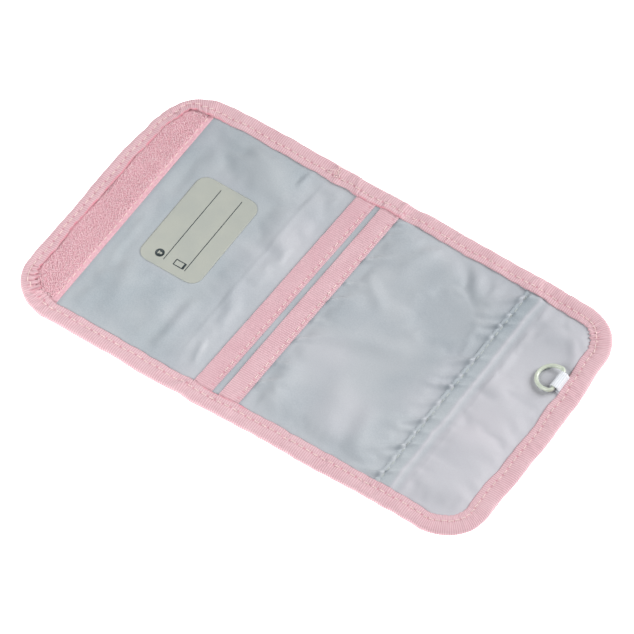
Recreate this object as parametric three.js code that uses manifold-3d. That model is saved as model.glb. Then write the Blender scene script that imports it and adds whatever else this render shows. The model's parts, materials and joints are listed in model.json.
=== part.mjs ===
// A small fabric fold-over wallet, lying open with its inside face up.
// Millimetres. X runs along the open wallet, Y across it, Z up from its underside.
// The middle panel is the root body. The left flap, the right flap and the ring turn on it.

import * as THREE from 'three';
import { mergeVertices } from 'three/addons/utils/BufferGeometryUtils.js';
import Module from 'manifold-3d';

const wasm = await Module();
wasm.setup();

// Overall size.
const LENGTH = 222;
const WIDTH = 126;
const CORNER_RADIUS = 20;
const END_X = LENGTH / 2;
const SIDE_Y = WIDTH / 2;
const CORNER_SEGMENTS = 8;

// Fold lines. Neighbouring panels stop half a fold gap short of each.
const LEFT_FOLD_X = -25.5;
const RIGHT_FOLD_X = 70.5;
const FOLD_GAP = 0.4;

// The edge binding: a ribbon folded over the edge into a channel.
const BINDING_WIDTH = 8.5;
const BINDING_THICKNESS = 3.4;
const BINDING_TAPE = 0.4;
const STITCH_INSET = 5.8;

// Heights of the layers, underside first, as [bottom, top].
const SHELL = [0, 0.8];
const SHELL_TONGUE = [0.5, 0.8];
const SHELL_OVER_HOOKS = [1.0, 1.3];
const HOOKS = [0, 0.9];
const FOAM = [0.9, 1.4];
const FOAM_OVER_HOOKS_END = 88;
const LINING = [1.5, 1.65];
const LABEL = [1.7, 1.95];
const LOOP_PILE = [1.7, 2.9];
const REAR_TAPE = [1.7, 2.35];
const REAR_POCKET = [1.95, 2.1];
const FRONT_TAPE = [2.2, 2.85];
const FRONT_POCKET = [2.45, 2.6];
const HEM = [2.65, 2.8];

// How far each layer stops short of the outer edge.
const TUCKED_INSET = 0.8;
const FOAM_INSET = 3;
const WINDOW_CLEARANCE = 0.3;

// Hook and loop strips: how far their inner edges are from the middle of the wallet.
const LOOP_STRIP_INNER_X = -89.6;
const HOOK_STRIP_INNER_X = 89.4;

// Ribbons on the two pocket mouths, each leaning a little off square.
const MOUTH_TAPE_WIDTH = 9;
const MOUTH_TAPE = 0.2;
const MOUTH_STITCH = 7.5;
const REAR_MOUTH = { x: -21.6, slant: THREE.MathUtils.degToRad(2.1) };
const FRONT_MOUTH = { x: -9.8, slant: THREE.MathUtils.degToRad(1.8) };
const HEM_EDGE = { x: 62.8, slant: THREE.MathUtils.degToRad(0.9) };
const HEM_STITCH = 1.9;
const PANEL_IN_TAPE = 0.35;

// Name label on the left flap.
const LABEL_CENTRE = new THREE.Vector2(-62.8, 4.8);
const LABEL_SIZE = new THREE.Vector2(29, 47);
const LABEL_RADIUS = 5;

// D-shaped ring, its bar held in a folded elastic. The bar is high enough for the ring to turn right over
// and lie on the binding, and at rest the ring leans down from it to the lining.
const RING_BAR = new THREE.Vector3(97.2, 24.3, 4.0);
const RING_LEAN = THREE.MathUtils.degToRad(8);
const RING_WIRE_RADIUS = 0.95;
const RING_HALF_WIDTH = 5.65;
const RING_DEPTH = 9.1;
const RING_CORNER = 1.6;
const RING_STEPS = 40;
const RING_SIDES = 10;
const ELASTIC_WIDTH = 8;
const ELASTIC_BORE_RADIUS = 1.05;
const ELASTIC_OUTER_RADIUS = 1.4;
const ELASTIC_TAIL = [1.7, 2.9];
const ELASTIC_TAIL_END_X = END_X - 1;
const ELASTIC_NECK_X = END_X - BINDING_WIDTH - 0.4;

// Sewing thread, drawn as one thin run along each row of stitches.
const THREAD_WIDTH = 0.5;
const THREAD_HEIGHT = 0.12;
const THREAD_GAP = 0.02;

const LEFT_END = [-END_X, LEFT_FOLD_X - FOLD_GAP / 2];
const MIDDLE = [LEFT_FOLD_X + FOLD_GAP / 2, RIGHT_FOLD_X - FOLD_GAP / 2];
const RIGHT_END = [RIGHT_FOLD_X + FOLD_GAP / 2, END_X];

const ribbonPink = fabric('#e8b7c0', 0.75);
const shellPink = fabric('#e9b9c4', 0.7);
const pilePink = fabric('#dfa9b5', 0.95);
const hookPink = fabric('#e3b2bd', 0.6);
const liningGrey = fabric('#b6c0c8', 0.55);
const labelGrey = fabric('#b9beb4', 0.7);
const foamWhite = fabric('#f2f1ec', 0.9);
const elasticWhite = fabric('#eef0f4', 0.7);
const threadCream = fabric('#f3dfe0', 0.6);
const ringMint = fabric('#dbe6da', 0.3);

function fabric(color, roughness) {
  return new THREE.MeshStandardMaterial({ color, roughness, metalness: 0 });
}

/** The stretch from x = span[0] to span[1] of the wallet's outline, set in from its edge. */
function panelOutline(span, inset) {
  const y = SIDE_Y - inset;
  const r = CORNER_RADIUS - inset;
  const left = Math.max(span[0], inset - END_X);
  const right = Math.min(span[1], END_X - inset);
  const outline = new THREE.Shape();
  if (span[0] <= -END_X) {
    outline.absarc(left + r, y - r, r, Math.PI / 2, Math.PI, false);
    outline.absarc(left + r, r - y, r, Math.PI, 1.5 * Math.PI, false);
  } else {
    outline.moveTo(left, y);
    outline.lineTo(left, -y);
  }
  if (span[1] >= END_X) {
    outline.absarc(right - r, r - y, r, -Math.PI / 2, 0, false);
    outline.absarc(right - r, y - r, r, 0, Math.PI / 2, false);
  } else {
    outline.lineTo(right, -y);
    outline.lineTo(right, y);
  }
  return outline;
}

/** A flat solid of the outline between two heights. */
function slab(outline, [bottom, top]) {
  const settings = { depth: top - bottom, bevelEnabled: false, curveSegments: CORNER_SEGMENTS };
  return new THREE.ExtrudeGeometry(outline, settings).translate(0, 0, bottom);
}

function toSolid(geometry) {
  const bare = geometry.clone();
  bare.deleteAttribute('normal');
  bare.deleteAttribute('uv');
  const merged = mergeVertices(bare, 1e-4);
  const vertProperties = merged.getAttribute('position').array;
  const triVerts = Uint32Array.from(merged.getIndex().array);
  return new wasm.Manifold(new wasm.Mesh({ numProp: 3, vertProperties, triVerts }));
}

function toGeometry(solid) {
  const { vertProperties, triVerts } = solid.getMesh();
  const geometry = new THREE.BufferGeometry();
  geometry.setAttribute('position', new THREE.BufferAttribute(vertProperties, 3));
  geometry.setIndex(new THREE.BufferAttribute(triVerts, 1));
  geometry.computeVertexNormals();
  return geometry;
}

const wallet = new THREE.Group();

function add(name, geometry, material) {
  const mesh = new THREE.Mesh(geometry, material);
  mesh.name = name;
  wallet.add(mesh);
  return mesh;
}

/** A span carried a little past its fold, so that a cut runs clear through the panel's end. */
function pastFolds(span) {
  return [span[0] > -END_X ? span[0] - 1 : span[0], span[1] < END_X ? span[1] + 1 : span[1]];
}

/** A shell panel: flush with the underside inside the binding, with a thin tongue inside the channel. */
function shellSolid(span) {
  const tongue = toSolid(slab(panelOutline(span, TUCKED_INSET), SHELL_TONGUE));
  const flush = toSolid(slab(panelOutline(span, BINDING_WIDTH + WINDOW_CLEARANCE), SHELL));
  return tongue.add(flush);
}

/** The right shell rises over the hook strip, which lies flush with the underside. */
function rightShellSolid() {
  const hookSpan = [HOOK_STRIP_INNER_X - WINDOW_CLEARANCE, END_X];
  const raisedSpan = [hookSpan[0] - 1, END_X];
  const inset = BINDING_WIDTH + WINDOW_CLEARANCE;
  const raisedHeights = [SHELL_TONGUE[0], SHELL_OVER_HOOKS[1]];
  const raised = toSolid(slab(panelOutline(raisedSpan, inset - 1), raisedHeights));
  const pocket = toSolid(slab(panelOutline(hookSpan, inset), [-1, SHELL_OVER_HOOKS[0]]));
  return shellSolid(RIGHT_END).add(raised).subtract(pocket);
}

/** Binding round a rounded end: the outline less its hollow and less the window it frames. */
function endBindingSolid(span) {
  const through = pastFolds(span);
  const block = toSolid(slab(panelOutline(span, 0), [0, BINDING_THICKNESS]));
  const hollowHeights = [BINDING_TAPE, BINDING_THICKNESS - BINDING_TAPE];
  const hollow = toSolid(slab(panelOutline(through, BINDING_TAPE), hollowHeights));
  const window = toSolid(slab(panelOutline(through, BINDING_WIDTH), [-1, BINDING_THICKNESS + 1]));
  return block.subtract(hollow).subtract(window);
}

/** Section of a ribbon folded round an edge: a C that opens towards +x. */
function foldedTapeSection(width, height, tape) {
  const section = new THREE.Shape();
  section.moveTo(0, 0);
  section.lineTo(width, 0);
  section.lineTo(width, tape);
  section.lineTo(tape, tape);
  section.lineTo(tape, height - tape);
  section.lineTo(width, height - tape);
  section.lineTo(width, height);
  section.lineTo(0, height);
  section.closePath();
  return section;
}

/** A straight folded ribbon that runs along Y, opens towards +X and starts at x = 0. */
function foldedTape(width, [bottom, top], tape, length) {
  const section = foldedTapeSection(width, top - bottom, tape);
  const geometry = new THREE.ExtrudeGeometry(section, { depth: length, bevelEnabled: false });
  return geometry.rotateX(Math.PI / 2).translate(0, length / 2, bottom);
}

/** Binding along one side of the middle panel; side is +1 for the far side and -1 for the near one. */
function addSideBinding(name, side) {
  const length = MIDDLE[1] - MIDDLE[0];
  const tape = foldedTape(BINDING_WIDTH, [0, BINDING_THICKNESS], BINDING_TAPE, length);
  const mesh = add(name, tape, ribbonPink);
  mesh.rotation.z = -side * Math.PI / 2;
  mesh.position.set((MIDDLE[0] + MIDDLE[1]) / 2, side * SIDE_Y, 0);
}

/** x of a line that leans by slant, at height y across the wallet. */
function leaningX(line, y) {
  return line.x + y * Math.tan(line.slant);
}

/** Outline from a leaning left edge to a square right edge, tucked under both side bindings. */
function leaningPanel(line, offset, right) {
  const y = SIDE_Y - TUCKED_INSET;
  const outline = new THREE.Shape();
  outline.moveTo(leaningX(line, y) + offset, y);
  outline.lineTo(leaningX(line, -y) + offset, -y);
  outline.lineTo(right, -y);
  outline.lineTo(right, y);
  outline.closePath();
  return outline;
}

/** A ribbon folded over a pocket's mouth. */
function addMouthTape(name, mouth, heights) {
  const length = WIDTH - 3 * TUCKED_INSET;
  const mesh = add(name, foldedTape(MOUTH_TAPE_WIDTH, heights, MOUTH_TAPE, length), ribbonPink);
  mesh.rotation.z = -mouth.slant;
  mesh.position.x = mouth.x;
}

/** A pocket panel, from inside its mouth ribbon to its sewn bottom by the right fold. */
function addPocket(name, mouth, heights) {
  add(name, slab(leaningPanel(mouth, PANEL_IN_TAPE, MIDDLE[1]), heights), liningGrey);
}

function threadHeights(surface) {
  return [surface + THREAD_GAP, surface + THREAD_GAP + THREAD_HEIGHT];
}

/** Thread round a rounded end of the binding. */
function endThreadSolid(span, surface) {
  const heights = threadHeights(surface);
  const outer = toSolid(slab(panelOutline(span, STITCH_INSET), heights));
  const inside = panelOutline(pastFolds(span), STITCH_INSET + THREAD_WIDTH);
  const inner = toSolid(slab(inside, [-1, BINDING_THICKNESS + 1]));
  return outer.subtract(inner);
}

/** A straight thread of the given length, lying along Y and centred on the origin. */
function threadRun(length, surface) {
  const [bottom, top] = threadHeights(surface);
  return new THREE.BoxGeometry(THREAD_WIDTH, length, top - bottom).translate(0, 0, (bottom + top) / 2);
}

/** Thread along a line that leans, between the side bindings. */
function addLeaningThread(name, line, offset, surface) {
  const length = WIDTH - 2 * BINDING_WIDTH - 2;
  const mesh = add(name, threadRun(length, surface), threadCream);
  mesh.rotation.z = -line.slant;
  mesh.position.x = line.x + offset;
}

function roundedRectangle(centre, size, r) {
  const x = size.x / 2 - r;
  const y = size.y / 2 - r;
  const outline = new THREE.Shape();
  outline.absarc(centre.x + x, centre.y + y, r, 0, Math.PI / 2, false);
  outline.absarc(centre.x - x, centre.y + y, r, Math.PI / 2, Math.PI, false);
  outline.absarc(centre.x - x, centre.y - y, r, Math.PI, 1.5 * Math.PI, false);
  outline.absarc(centre.x + x, centre.y - y, r, 1.5 * Math.PI, 2 * Math.PI, false);
  return outline;
}

/** Wire ring: a straight bar along Y and a bow that reaches towards -X. */
function ringGeometry() {
  const w = RING_HALF_WIDTH;
  const bowRadius = w;
  const shoulder = RING_DEPTH - bowRadius;
  const outline = new THREE.Shape();
  outline.moveTo(0, 0);
  outline.lineTo(0, w - RING_CORNER);
  outline.quadraticCurveTo(0, w, -RING_CORNER, w);
  outline.lineTo(-shoulder, w);
  outline.absarc(-shoulder, 0, bowRadius, Math.PI / 2, 1.5 * Math.PI, false);
  outline.lineTo(-RING_CORNER, -w);
  outline.quadraticCurveTo(0, -w, 0, RING_CORNER - w);
  outline.closePath();
  const flat = outline.getSpacedPoints(RING_STEPS).slice(0, RING_STEPS);
  const path = new THREE.CatmullRomCurve3(flat.map((p) => new THREE.Vector3(p.x, p.y, 0)), true);
  const tube = new THREE.TubeGeometry(path, 2 * RING_STEPS, RING_WIRE_RADIUS, RING_SIDES, true);
  tube.deleteAttribute('normal');
  tube.deleteAttribute('uv');
  const ring = mergeVertices(tube, 1e-4);
  ring.computeVertexNormals();
  return ring.rotateY(-RING_LEAN).translate(RING_BAR.x, RING_BAR.y, RING_BAR.z);
}

/** Elastic folded round the ring's bar, its two layers sewn together inside the binding. */
function elasticGeometry() {
  const section = new THREE.Shape();
  const { x, z } = RING_BAR;
  const [bottom, top] = ELASTIC_TAIL;
  section.absarc(x, z, ELASTIC_OUTER_RADIUS, Math.PI / 3, 1.5 * Math.PI, false);
  section.lineTo(ELASTIC_TAIL_END_X, bottom);
  section.lineTo(ELASTIC_TAIL_END_X, top);
  section.lineTo(ELASTIC_NECK_X, top);
  section.closePath();
  const bore = new THREE.Path();
  bore.absarc(x, z, ELASTIC_BORE_RADIUS, 0, 2 * Math.PI, true);
  section.holes.push(bore);
  const settings = { depth: ELASTIC_WIDTH, bevelEnabled: false, curveSegments: 2 * CORNER_SEGMENTS };
  const band = new THREE.ExtrudeGeometry(section, settings);
  return band.rotateX(Math.PI / 2).translate(0, RING_BAR.y + ELASTIC_WIDTH / 2, 0);
}

// Outer shell and foam.
add('outer_shell_left', toGeometry(shellSolid(LEFT_END)), shellPink);
add('outer_shell_middle', toGeometry(shellSolid(MIDDLE)), shellPink);
add('outer_shell_right', toGeometry(rightShellSolid()), shellPink);
add('foam_left', slab(panelOutline(LEFT_END, FOAM_INSET), FOAM), foamWhite);
add('foam_middle', slab(panelOutline(MIDDLE, FOAM_INSET), FOAM), foamWhite);
add('foam_right', slab(panelOutline([RIGHT_END[0], FOAM_OVER_HOOKS_END], FOAM_INSET), FOAM), foamWhite);

// Lining, and the turned edge of the right lining that closes the pockets' bottoms.
add('lining_left', slab(panelOutline(LEFT_END, TUCKED_INSET), LINING), liningGrey);
add('lining_middle', slab(panelOutline(MIDDLE, TUCKED_INSET), LINING), liningGrey);
add('lining_right', slab(panelOutline(RIGHT_END, TUCKED_INSET), LINING), liningGrey);
add('lining_right_hem', slab(leaningPanel(HEM_EDGE, 0, MIDDLE[1]), HEM), liningGrey);

// Card pockets with ribbon on their mouths.
addPocket('rear_card_pocket', REAR_MOUTH, REAR_POCKET);
addPocket('front_card_pocket', FRONT_MOUTH, FRONT_POCKET);
addMouthTape('rear_pocket_tape', REAR_MOUTH, REAR_TAPE);
addMouthTape('front_pocket_tape', FRONT_MOUTH, FRONT_TAPE);

// Hook and loop closure, and the name label.
const loopOutline = panelOutline([-END_X, LOOP_STRIP_INNER_X], TUCKED_INSET);
const hookOutline = panelOutline([HOOK_STRIP_INNER_X, END_X], BINDING_WIDTH + 2 * WINDOW_CLEARANCE);
add('loop_strip', slab(loopOutline, LOOP_PILE), pilePink);
add('hook_strip', slab(hookOutline, HOOKS), hookPink);
add('id_label', slab(roundedRectangle(LABEL_CENTRE, LABEL_SIZE, LABEL_RADIUS), LABEL), labelGrey);

// Edge binding, in the four lengths that the two folds part.
add('binding_left', toGeometry(endBindingSolid(LEFT_END)), ribbonPink);
addSideBinding('binding_top_middle', 1);
addSideBinding('binding_bottom_middle', -1);
add('binding_right', toGeometry(endBindingSolid(RIGHT_END)), ribbonPink);

// Ring and its elastic.
add('elastic_loop', elasticGeometry(), elasticWhite);
add('d_ring', ringGeometry(), ringMint);

// Stitching.
add('binding_thread_left', toGeometry(endThreadSolid(LEFT_END, BINDING_THICKNESS)), threadCream);
add('binding_thread_right', toGeometry(endThreadSolid(RIGHT_END, BINDING_THICKNESS)), threadCream);
for (const [name, side] of [['binding_thread_top', 1], ['binding_thread_bottom', -1]]) {
  const thread = add(name, threadRun(MIDDLE[1] - MIDDLE[0], BINDING_THICKNESS), threadCream);
  thread.rotation.z = Math.PI / 2;
  thread.position.set((MIDDLE[0] + MIDDLE[1]) / 2, side * (SIDE_Y - STITCH_INSET - THREAD_WIDTH / 2), 0);
}
addLeaningThread('rear_tape_thread', REAR_MOUTH, MOUTH_STITCH, REAR_TAPE[1]);
addLeaningThread('front_tape_thread', FRONT_MOUTH, MOUTH_STITCH, FRONT_TAPE[1]);
addLeaningThread('hem_thread', HEM_EDGE, HEM_STITCH, HEM[1]);
const loopThread = threadRun(WIDTH - 2 * BINDING_WIDTH - 2, LOOP_PILE[1]);
add('loop_strip_thread', loopThread.translate(LOOP_STRIP_INNER_X - HEM_STITCH, 0, 0), threadCream);

export default wallet;
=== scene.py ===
"""A small fabric fold-over wallet, lying open: the looks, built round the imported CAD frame.

Lengths are in millimetres and become metres in new_piece(). X runs along the open wallet, Y across it,
and Z up. The far side is the one with the higher y.
"""

import json
import math

import bpy
import numpy as np
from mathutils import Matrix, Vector


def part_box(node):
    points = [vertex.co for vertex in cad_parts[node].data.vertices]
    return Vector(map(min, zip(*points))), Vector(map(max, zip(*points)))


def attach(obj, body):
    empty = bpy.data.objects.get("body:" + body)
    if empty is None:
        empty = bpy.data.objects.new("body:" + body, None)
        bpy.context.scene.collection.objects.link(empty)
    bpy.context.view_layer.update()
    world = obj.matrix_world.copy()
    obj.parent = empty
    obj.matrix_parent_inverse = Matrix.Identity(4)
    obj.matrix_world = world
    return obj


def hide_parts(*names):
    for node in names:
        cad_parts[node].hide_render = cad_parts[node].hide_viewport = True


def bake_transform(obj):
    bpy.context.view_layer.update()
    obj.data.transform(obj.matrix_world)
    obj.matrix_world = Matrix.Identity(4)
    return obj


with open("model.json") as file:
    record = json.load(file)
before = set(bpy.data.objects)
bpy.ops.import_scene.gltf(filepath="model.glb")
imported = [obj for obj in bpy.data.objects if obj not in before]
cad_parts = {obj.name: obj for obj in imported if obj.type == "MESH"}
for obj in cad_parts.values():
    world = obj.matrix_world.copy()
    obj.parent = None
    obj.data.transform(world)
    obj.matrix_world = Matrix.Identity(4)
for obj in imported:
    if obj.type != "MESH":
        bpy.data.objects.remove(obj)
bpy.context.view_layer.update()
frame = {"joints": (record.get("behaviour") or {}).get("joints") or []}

MM = 0.001


def cad_box(node):
    """A CAD node's lowest and highest corners, in millimetres."""
    low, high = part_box(node)
    return np.array(low) / MM, np.array(high) / MM


JOINTS = {joint["name"]: np.array(joint["pos_m"]) / MM for joint in frame["joints"]}
LEFT_FOLD = JOINTS["left_flap_fold"][0]
RIGHT_FOLD = JOINTS["right_flap_fold"][0]
# How far on each side of a fold's line the grid gets extra columns.
FOLD_HALF = 4.0
SATIN_THICK = 0.14

# The outline, from the frame.
END_X = cad_box("binding_right")[1][0]
SIDE_Y = cad_box("binding_right")[1][1]
# The corners aren't equally round: far left, near left, near right, far right.
CORNER_RADII = (27.0, 19.5, 23.5, 21.5)
JOIN_X = (LEFT_FOLD + RIGHT_FOLD) / 2

# The edge binding.
ROLL_TOP = 2.85
# Above this the gathers are flattened, so that the closed flaps clear them.
GATHER_TOP = 3.6
TAPE = 0.42
# How far in from the rim the round edge reaches.
ROLL_REACH = 1.7
STITCH_IN = 2.9
STITCH_PITCH = 3.5
STITCH_LENGTH = 2.5
THREAD_RADIUS = 0.18
RIB_PITCH = 0.95
RIB_STEPS = 4
RIB_HEIGHT = 0.045

MOUTH_WIDTH = 9.0


def mouth_edge(node):
    """The x of a pocket mouth's edge at the middle of the wallet."""
    low, high = cad_box(node)
    return (low[0] + high[0] - MOUTH_WIDTH) / 2


# Pocket mouths, hem and strips: x at the middle of the wallet, and how far they lean.
REAR_MOUTH = mouth_edge("rear_pocket_tape")
FRONT_MOUTH = mouth_edge("front_pocket_tape")
REAR_SLANT = math.tan(math.radians(2.1))
FRONT_SLANT = math.tan(math.radians(1.8))
HEM_SLANT = math.tan(math.radians(0.9))
HEM_X = 62.8
HEM_ROW = 2.0
LOOP_EDGE = cad_box("loop_strip")[1][0]
HOOK_EDGE = cad_box("hook_strip")[0][0]

LABEL_LOW, LABEL_HIGH = cad_box("id_label")
LABEL_MIDDLE = (LABEL_LOW + LABEL_HIGH) / 2
RING_BAR = JOINTS["ring_swing"]
# Where the ring's middle lies on the right flap, and on the front pocket when that flap is closed.
RING_OPEN_X = 93
RING_CLOSED_X = 44

SKEW = 1.4e-4
SPREAD = 1.011


# ---------------------------------------------------------------- shapes of cloth

def smooth(x, low, high):
    """0 below low, 1 above high, and a soft step between."""
    t = np.clip((x - low) / (high - low), 0, 1)
    return t * t * (3 - 2 * t)


def bump(x, width):
    return np.exp(-((x / width) ** 2))


def noise(x, y, size, seed):
    """Soft noise from -1 to 1 whose blobs are about size across."""
    table = np.random.default_rng(seed).uniform(-1, 1, (61, 61))
    u, v = x / size + 500.3, y / size + 500.7
    i, j = np.floor(u).astype(int), np.floor(v).astype(int)
    f, g = u - i, v - j
    f, g = f * f * (3 - 2 * f), g * g * (3 - 2 * g)
    i0, j0, i1, j1 = i % 61, j % 61, (i + 1) % 61, (j + 1) % 61
    near = table[i0, j0] * (1 - g) + table[i0, j1] * g
    far = table[i1, j0] * (1 - g) + table[i1, j1] * g
    return near * (1 - f) + far * f


def corner_radius(x, y):
    """The radius of the corner in the same quarter as the point."""
    far_left, near_left, near_right, far_right = CORNER_RADII
    return np.where(x < 0, np.where(y > 0, far_left, near_left), np.where(y > 0, far_right, near_right))


def edge_distance(x, y):
    """How far a point lies inside the wallet's rounded outline."""
    radius = corner_radius(x, y)
    across = np.abs(x) - (END_X - radius)
    along = np.abs(y) - (SIDE_Y - radius)
    outside = np.hypot(np.maximum(across, 0), np.maximum(along, 0))
    return radius - outside - np.minimum(np.maximum(across, along), 0)


def well_inside(x, y, low, high):
    """0 within low of the outline, 1 beyond high, and a soft step between."""
    return smooth(edge_distance(x, y), low, high)


def near_ring(x, y, place, radius):
    """1 at the ring's place along the wallet, falling to 0 over about its radius."""
    return bump(np.hypot(x - place, y - RING_BAR[1]), radius)


def ridge(x, y, start, end, width, height):
    """A soft fold of cloth between two points: a ridge with a shallow valley beside it."""
    along = np.array(end, float) - start
    length = np.hypot(*along)
    t = ((x - start[0]) * along[0] + (y - start[1]) * along[1]) / length**2
    off = ((x - start[0]) * along[1] - (y - start[1]) * along[0]) / length
    fade = np.exp(-(((t - 0.5) / 0.45) ** 4))
    return height * fade * (bump(off, 1.2 * width) - 0.4 * bump(off - 2.0 * width, 1.6 * width))


def puckers(x, y, seam_x, side, places, reach, height):
    """Short ridges that run out of a seam on one side, where the stitches draw the cloth in."""
    out = side * (x - seam_x)
    lift = np.zeros_like(x)
    for n, place in enumerate(places):
        lean = side * (0.45 + 0.3 * math.sin(2.3 * n + place))
        width = 1.35 + 0.4 * math.sin(1.7 * n)
        size = 1 + 0.4 * math.sin(3.1 * n + 1)
        lift += size * bump(y - place - lean * out, width + 0.12 * np.maximum(out, 0))
    return height * lift * smooth(out, -0.5, 1.2) * np.exp(-np.maximum(out, 0) / reach)


def spaced(low, high, pitch, seed):
    """Places about pitch apart, a little uneven."""
    places = np.arange(low, high, pitch)
    return places + np.random.default_rng(seed).uniform(-0.3, 0.3, len(places)) * pitch


def rear_mouth_x(y):
    return REAR_MOUTH + y * REAR_SLANT


def front_mouth_x(y):
    return FRONT_MOUTH + y * FRONT_SLANT


def hem_x(y):
    return HEM_X + y * HEM_SLANT


LINING_WRINKLES = (
    ((-44, -20), (-45, -56), 2.2, 0.5),
    ((-41, 58), (-42, 44), 1.0, 0.3),
    ((-66, 54), (-50, 36), 5.0, 0.35),
    ((-80, 40), (-74, 10), 3.5, 0.3),
    ((-78, -12), (-70, -46), 3.0, 0.35),
    ((-40, 34), (-30, 12), 4.0, 0.3),
    ((-36, -6), (-27, -30), 2.4, 0.35),
    ((-31, -36), (-28, -50), 1.3, 0.3),
    ((-60, -28), (-48, -44), 4.5, 0.3),
    ((-86, 0), (-84, -30), 2.0, 0.25),
    ((-34, 60), (-35, -60), 0.7, 0.12),
)
POCKET_WRINKLES = (
    ((15, 32), (26, 54), 3.0, 0.5),
    ((34, 9), (56, 19), 2.6, 0.45),
    ((0, -12), (40, 2), 3.2, 0.4),
    ((3, -25), (10, -56), 4.0, 0.6),
    ((43, -28), (50, -56), 3.4, 0.45),
    ((24, -20), (36, -52), 5.0, 0.4),
    ((26, 24), (46, 36), 3.6, 0.35),
    ((40, 56), (48, 40), 2.6, 0.35),
    ((6, 24), (22, 12), 2.4, 0.3),
)
RIGHT_WRINKLES = (
    ((72, 30), (90, 43), 3.6, 0.4),
    ((71, 4), (93, 17), 3.6, 0.5),
    ((72, -26), (94, -15), 4.2, 0.45),
    ((73, -50), (95, -40), 4.2, 0.35),
    ((92, 46), (100, 34), 2.0, 0.2),
)


def wrinkled(x, y, folds, seed, amount=1.0):
    """Height of the folds, with slow unevenness between them."""
    lift = 2.0 * sum(ridge(x, y, start, end, width, height) for start, end, width, height in folds)
    lift = lift + 0.4 * noise(x, y, 19, seed) + 0.1 * noise(x + 0.6 * y, y - 0.6 * x, 8, seed + 1)
    return amount * lift


def pressed(top, x, y):
    """Layers are pressed together under the binding, in their order."""
    under = 1 - well_inside(x, y, 5.2, 8.2)
    return top * (1 - under) + (1.2 + 0.25 * top) * under


def under_label(x, y):
    """1 where the label is sewn to the lining."""
    across, along = np.abs(x - LABEL_MIDDLE[0]) / 18, np.abs(y - LABEL_MIDDLE[1]) / 27
    return 1 - smooth(np.maximum(across, along), 0.78, 1.2)


def lining_top(x, y):
    """Top of the left and middle lining."""
    inside = well_inside(x, y, 6, 16)
    beside_strip = smooth(x, LOOP_EDGE, LOOP_EDGE + 9)
    before_mouth = 1 - smooth(x - rear_mouth_x(y), -7, 0)
    lift = wrinkled(x, y, LINING_WRINKLES, 11) + 0.35
    still = under_label(x, y)
    lift = lift * (1 - 0.75 * still) + 0.35 * still
    flat = inside * beside_strip * before_mouth
    return 1.72 + flat * lift + 0.1 * (1 - beside_strip)


def rear_pocket_top(x, y):
    return 2.2 + 0.06 * noise(x, y, 9, 21)


POCKET_SEAM = spaced(-52, 54, 8.5, 5)
TAPE_PUCKERS = (51, 43, 29, 16, 5, -6, -18, -31, -43)


def front_pocket_top(x, y):
    """Top of the front pocket panel, drawn in by the seams at both its ends."""
    inside = well_inside(x, y, 7, 17)
    after_mouth = smooth(x - front_mouth_x(y), 7, 15)
    before_hem = 1 - smooth(x - hem_x(y), -9, 0)
    flat = inside * after_mouth * before_hem
    under_ring = near_ring(x, y, RING_CLOSED_X, 10)
    lift = flat * (wrinkled(x, y, POCKET_WRINKLES, 31) + 0.25) * (1 - 0.97 * under_ring)
    beside_mouth = front_mouth_x(y) + MOUTH_WIDTH + 0.3
    drawn = puckers(x, y, beside_mouth, 1, TAPE_PUCKERS, 6.0, 1.3)
    drawn += puckers(x, y, hem_x(y) + 1.5, -1, POCKET_SEAM, 6.0, 1.7)
    return 2.6 + lift + drawn * well_inside(x, y, 6, 11) * (1 - under_ring)


def hem_sway(y):
    """How far the soft ridge beside the hem wanders."""
    return 0.8 * noise(0 * y, y, 15, 43) + 0.35 * noise(0 * y, y, 5, 44)


def right_lining_top(x, y):
    """Top of the right lining, from its turned edge over the pockets to the flap's end."""
    sway = hem_sway(y)
    on_pockets = 1 - smooth(x - hem_x(y) + sway, 5.5, 16)
    height = 1.78 + 1.12 * on_pockets
    ledge = 0.17 * bump(x - hem_x(y) - 7.6 + sway, 0.9) - 0.2 * bump(x - hem_x(y) - 10 + sway, 1.6)
    inside = well_inside(x, y, 6, 14)
    past_ledge = smooth(x - hem_x(y), 9, 13)
    clear = 1 - 0.85 * near_ring(x, y, RING_OPEN_X, 13)
    lift = inside * past_ledge * clear * (wrinkled(x, y, RIGHT_WRINKLES, 41, 0.8) + 0.35)
    drawn = puckers(x, y, hem_x(y) + HEM_ROW, 1, POCKET_SEAM + 1.5, 3.4, 1.3) * well_inside(x, y, 6, 11)
    stitched = -0.3 * bump(x - hem_x(y) - HEM_ROW, 0.8)
    return height + ledge + lift + drawn + stitched


def falling_away(x, y, top):
    """How much darker the satin looks where it falls away from the light, from its slope."""
    along = np.gradient(top, axis=1) / np.maximum(np.gradient(x, axis=1), 1e-3)
    across = np.gradient(top, axis=0) / np.maximum(np.gradient(y, axis=0), 1e-3)
    shade = np.clip(0.08 + 0.6 * (0.5 * along + 0.85 * across), 0, 0.45)
    return shade * well_inside(x, y, 6, 8.5)


def between(x, low, high, soft=0.5):
    """1 between low and high."""
    return smooth(x, low - soft, low + soft) * (1 - smooth(x, high - soft, high + soft))


def under_binding(x, y):
    """Top of what lies under the binding's inner edge."""
    top = lining_top(x, y)
    top = np.maximum(top, 2.7 * between(x, -END_X - 9, LOOP_EDGE, 0.3))
    rear, front, hem = x - rear_mouth_x(y), x - front_mouth_x(y), x - hem_x(y)
    top = np.maximum(top, rear_pocket_top(x, y) * between(rear, 0, 80))
    top = np.maximum(top, 2.5 * between(rear, 0, MOUTH_WIDTH))
    top = np.maximum(top, 2.62 * smooth(front, -0.5, 0.5) * (1 - smooth(hem, 7.2, 9.2)))
    top = np.maximum(top, 3.0 * between(front, 0, MOUTH_WIDTH))
    right = np.where(hem > 0, right_lining_top(x, y), 0)
    elastic = 0.75 * smooth(x, 90, 95) * (1 - smooth(np.abs(y - RING_BAR[1]), 2.5, 7))
    return np.maximum(top, right) + elastic


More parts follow.
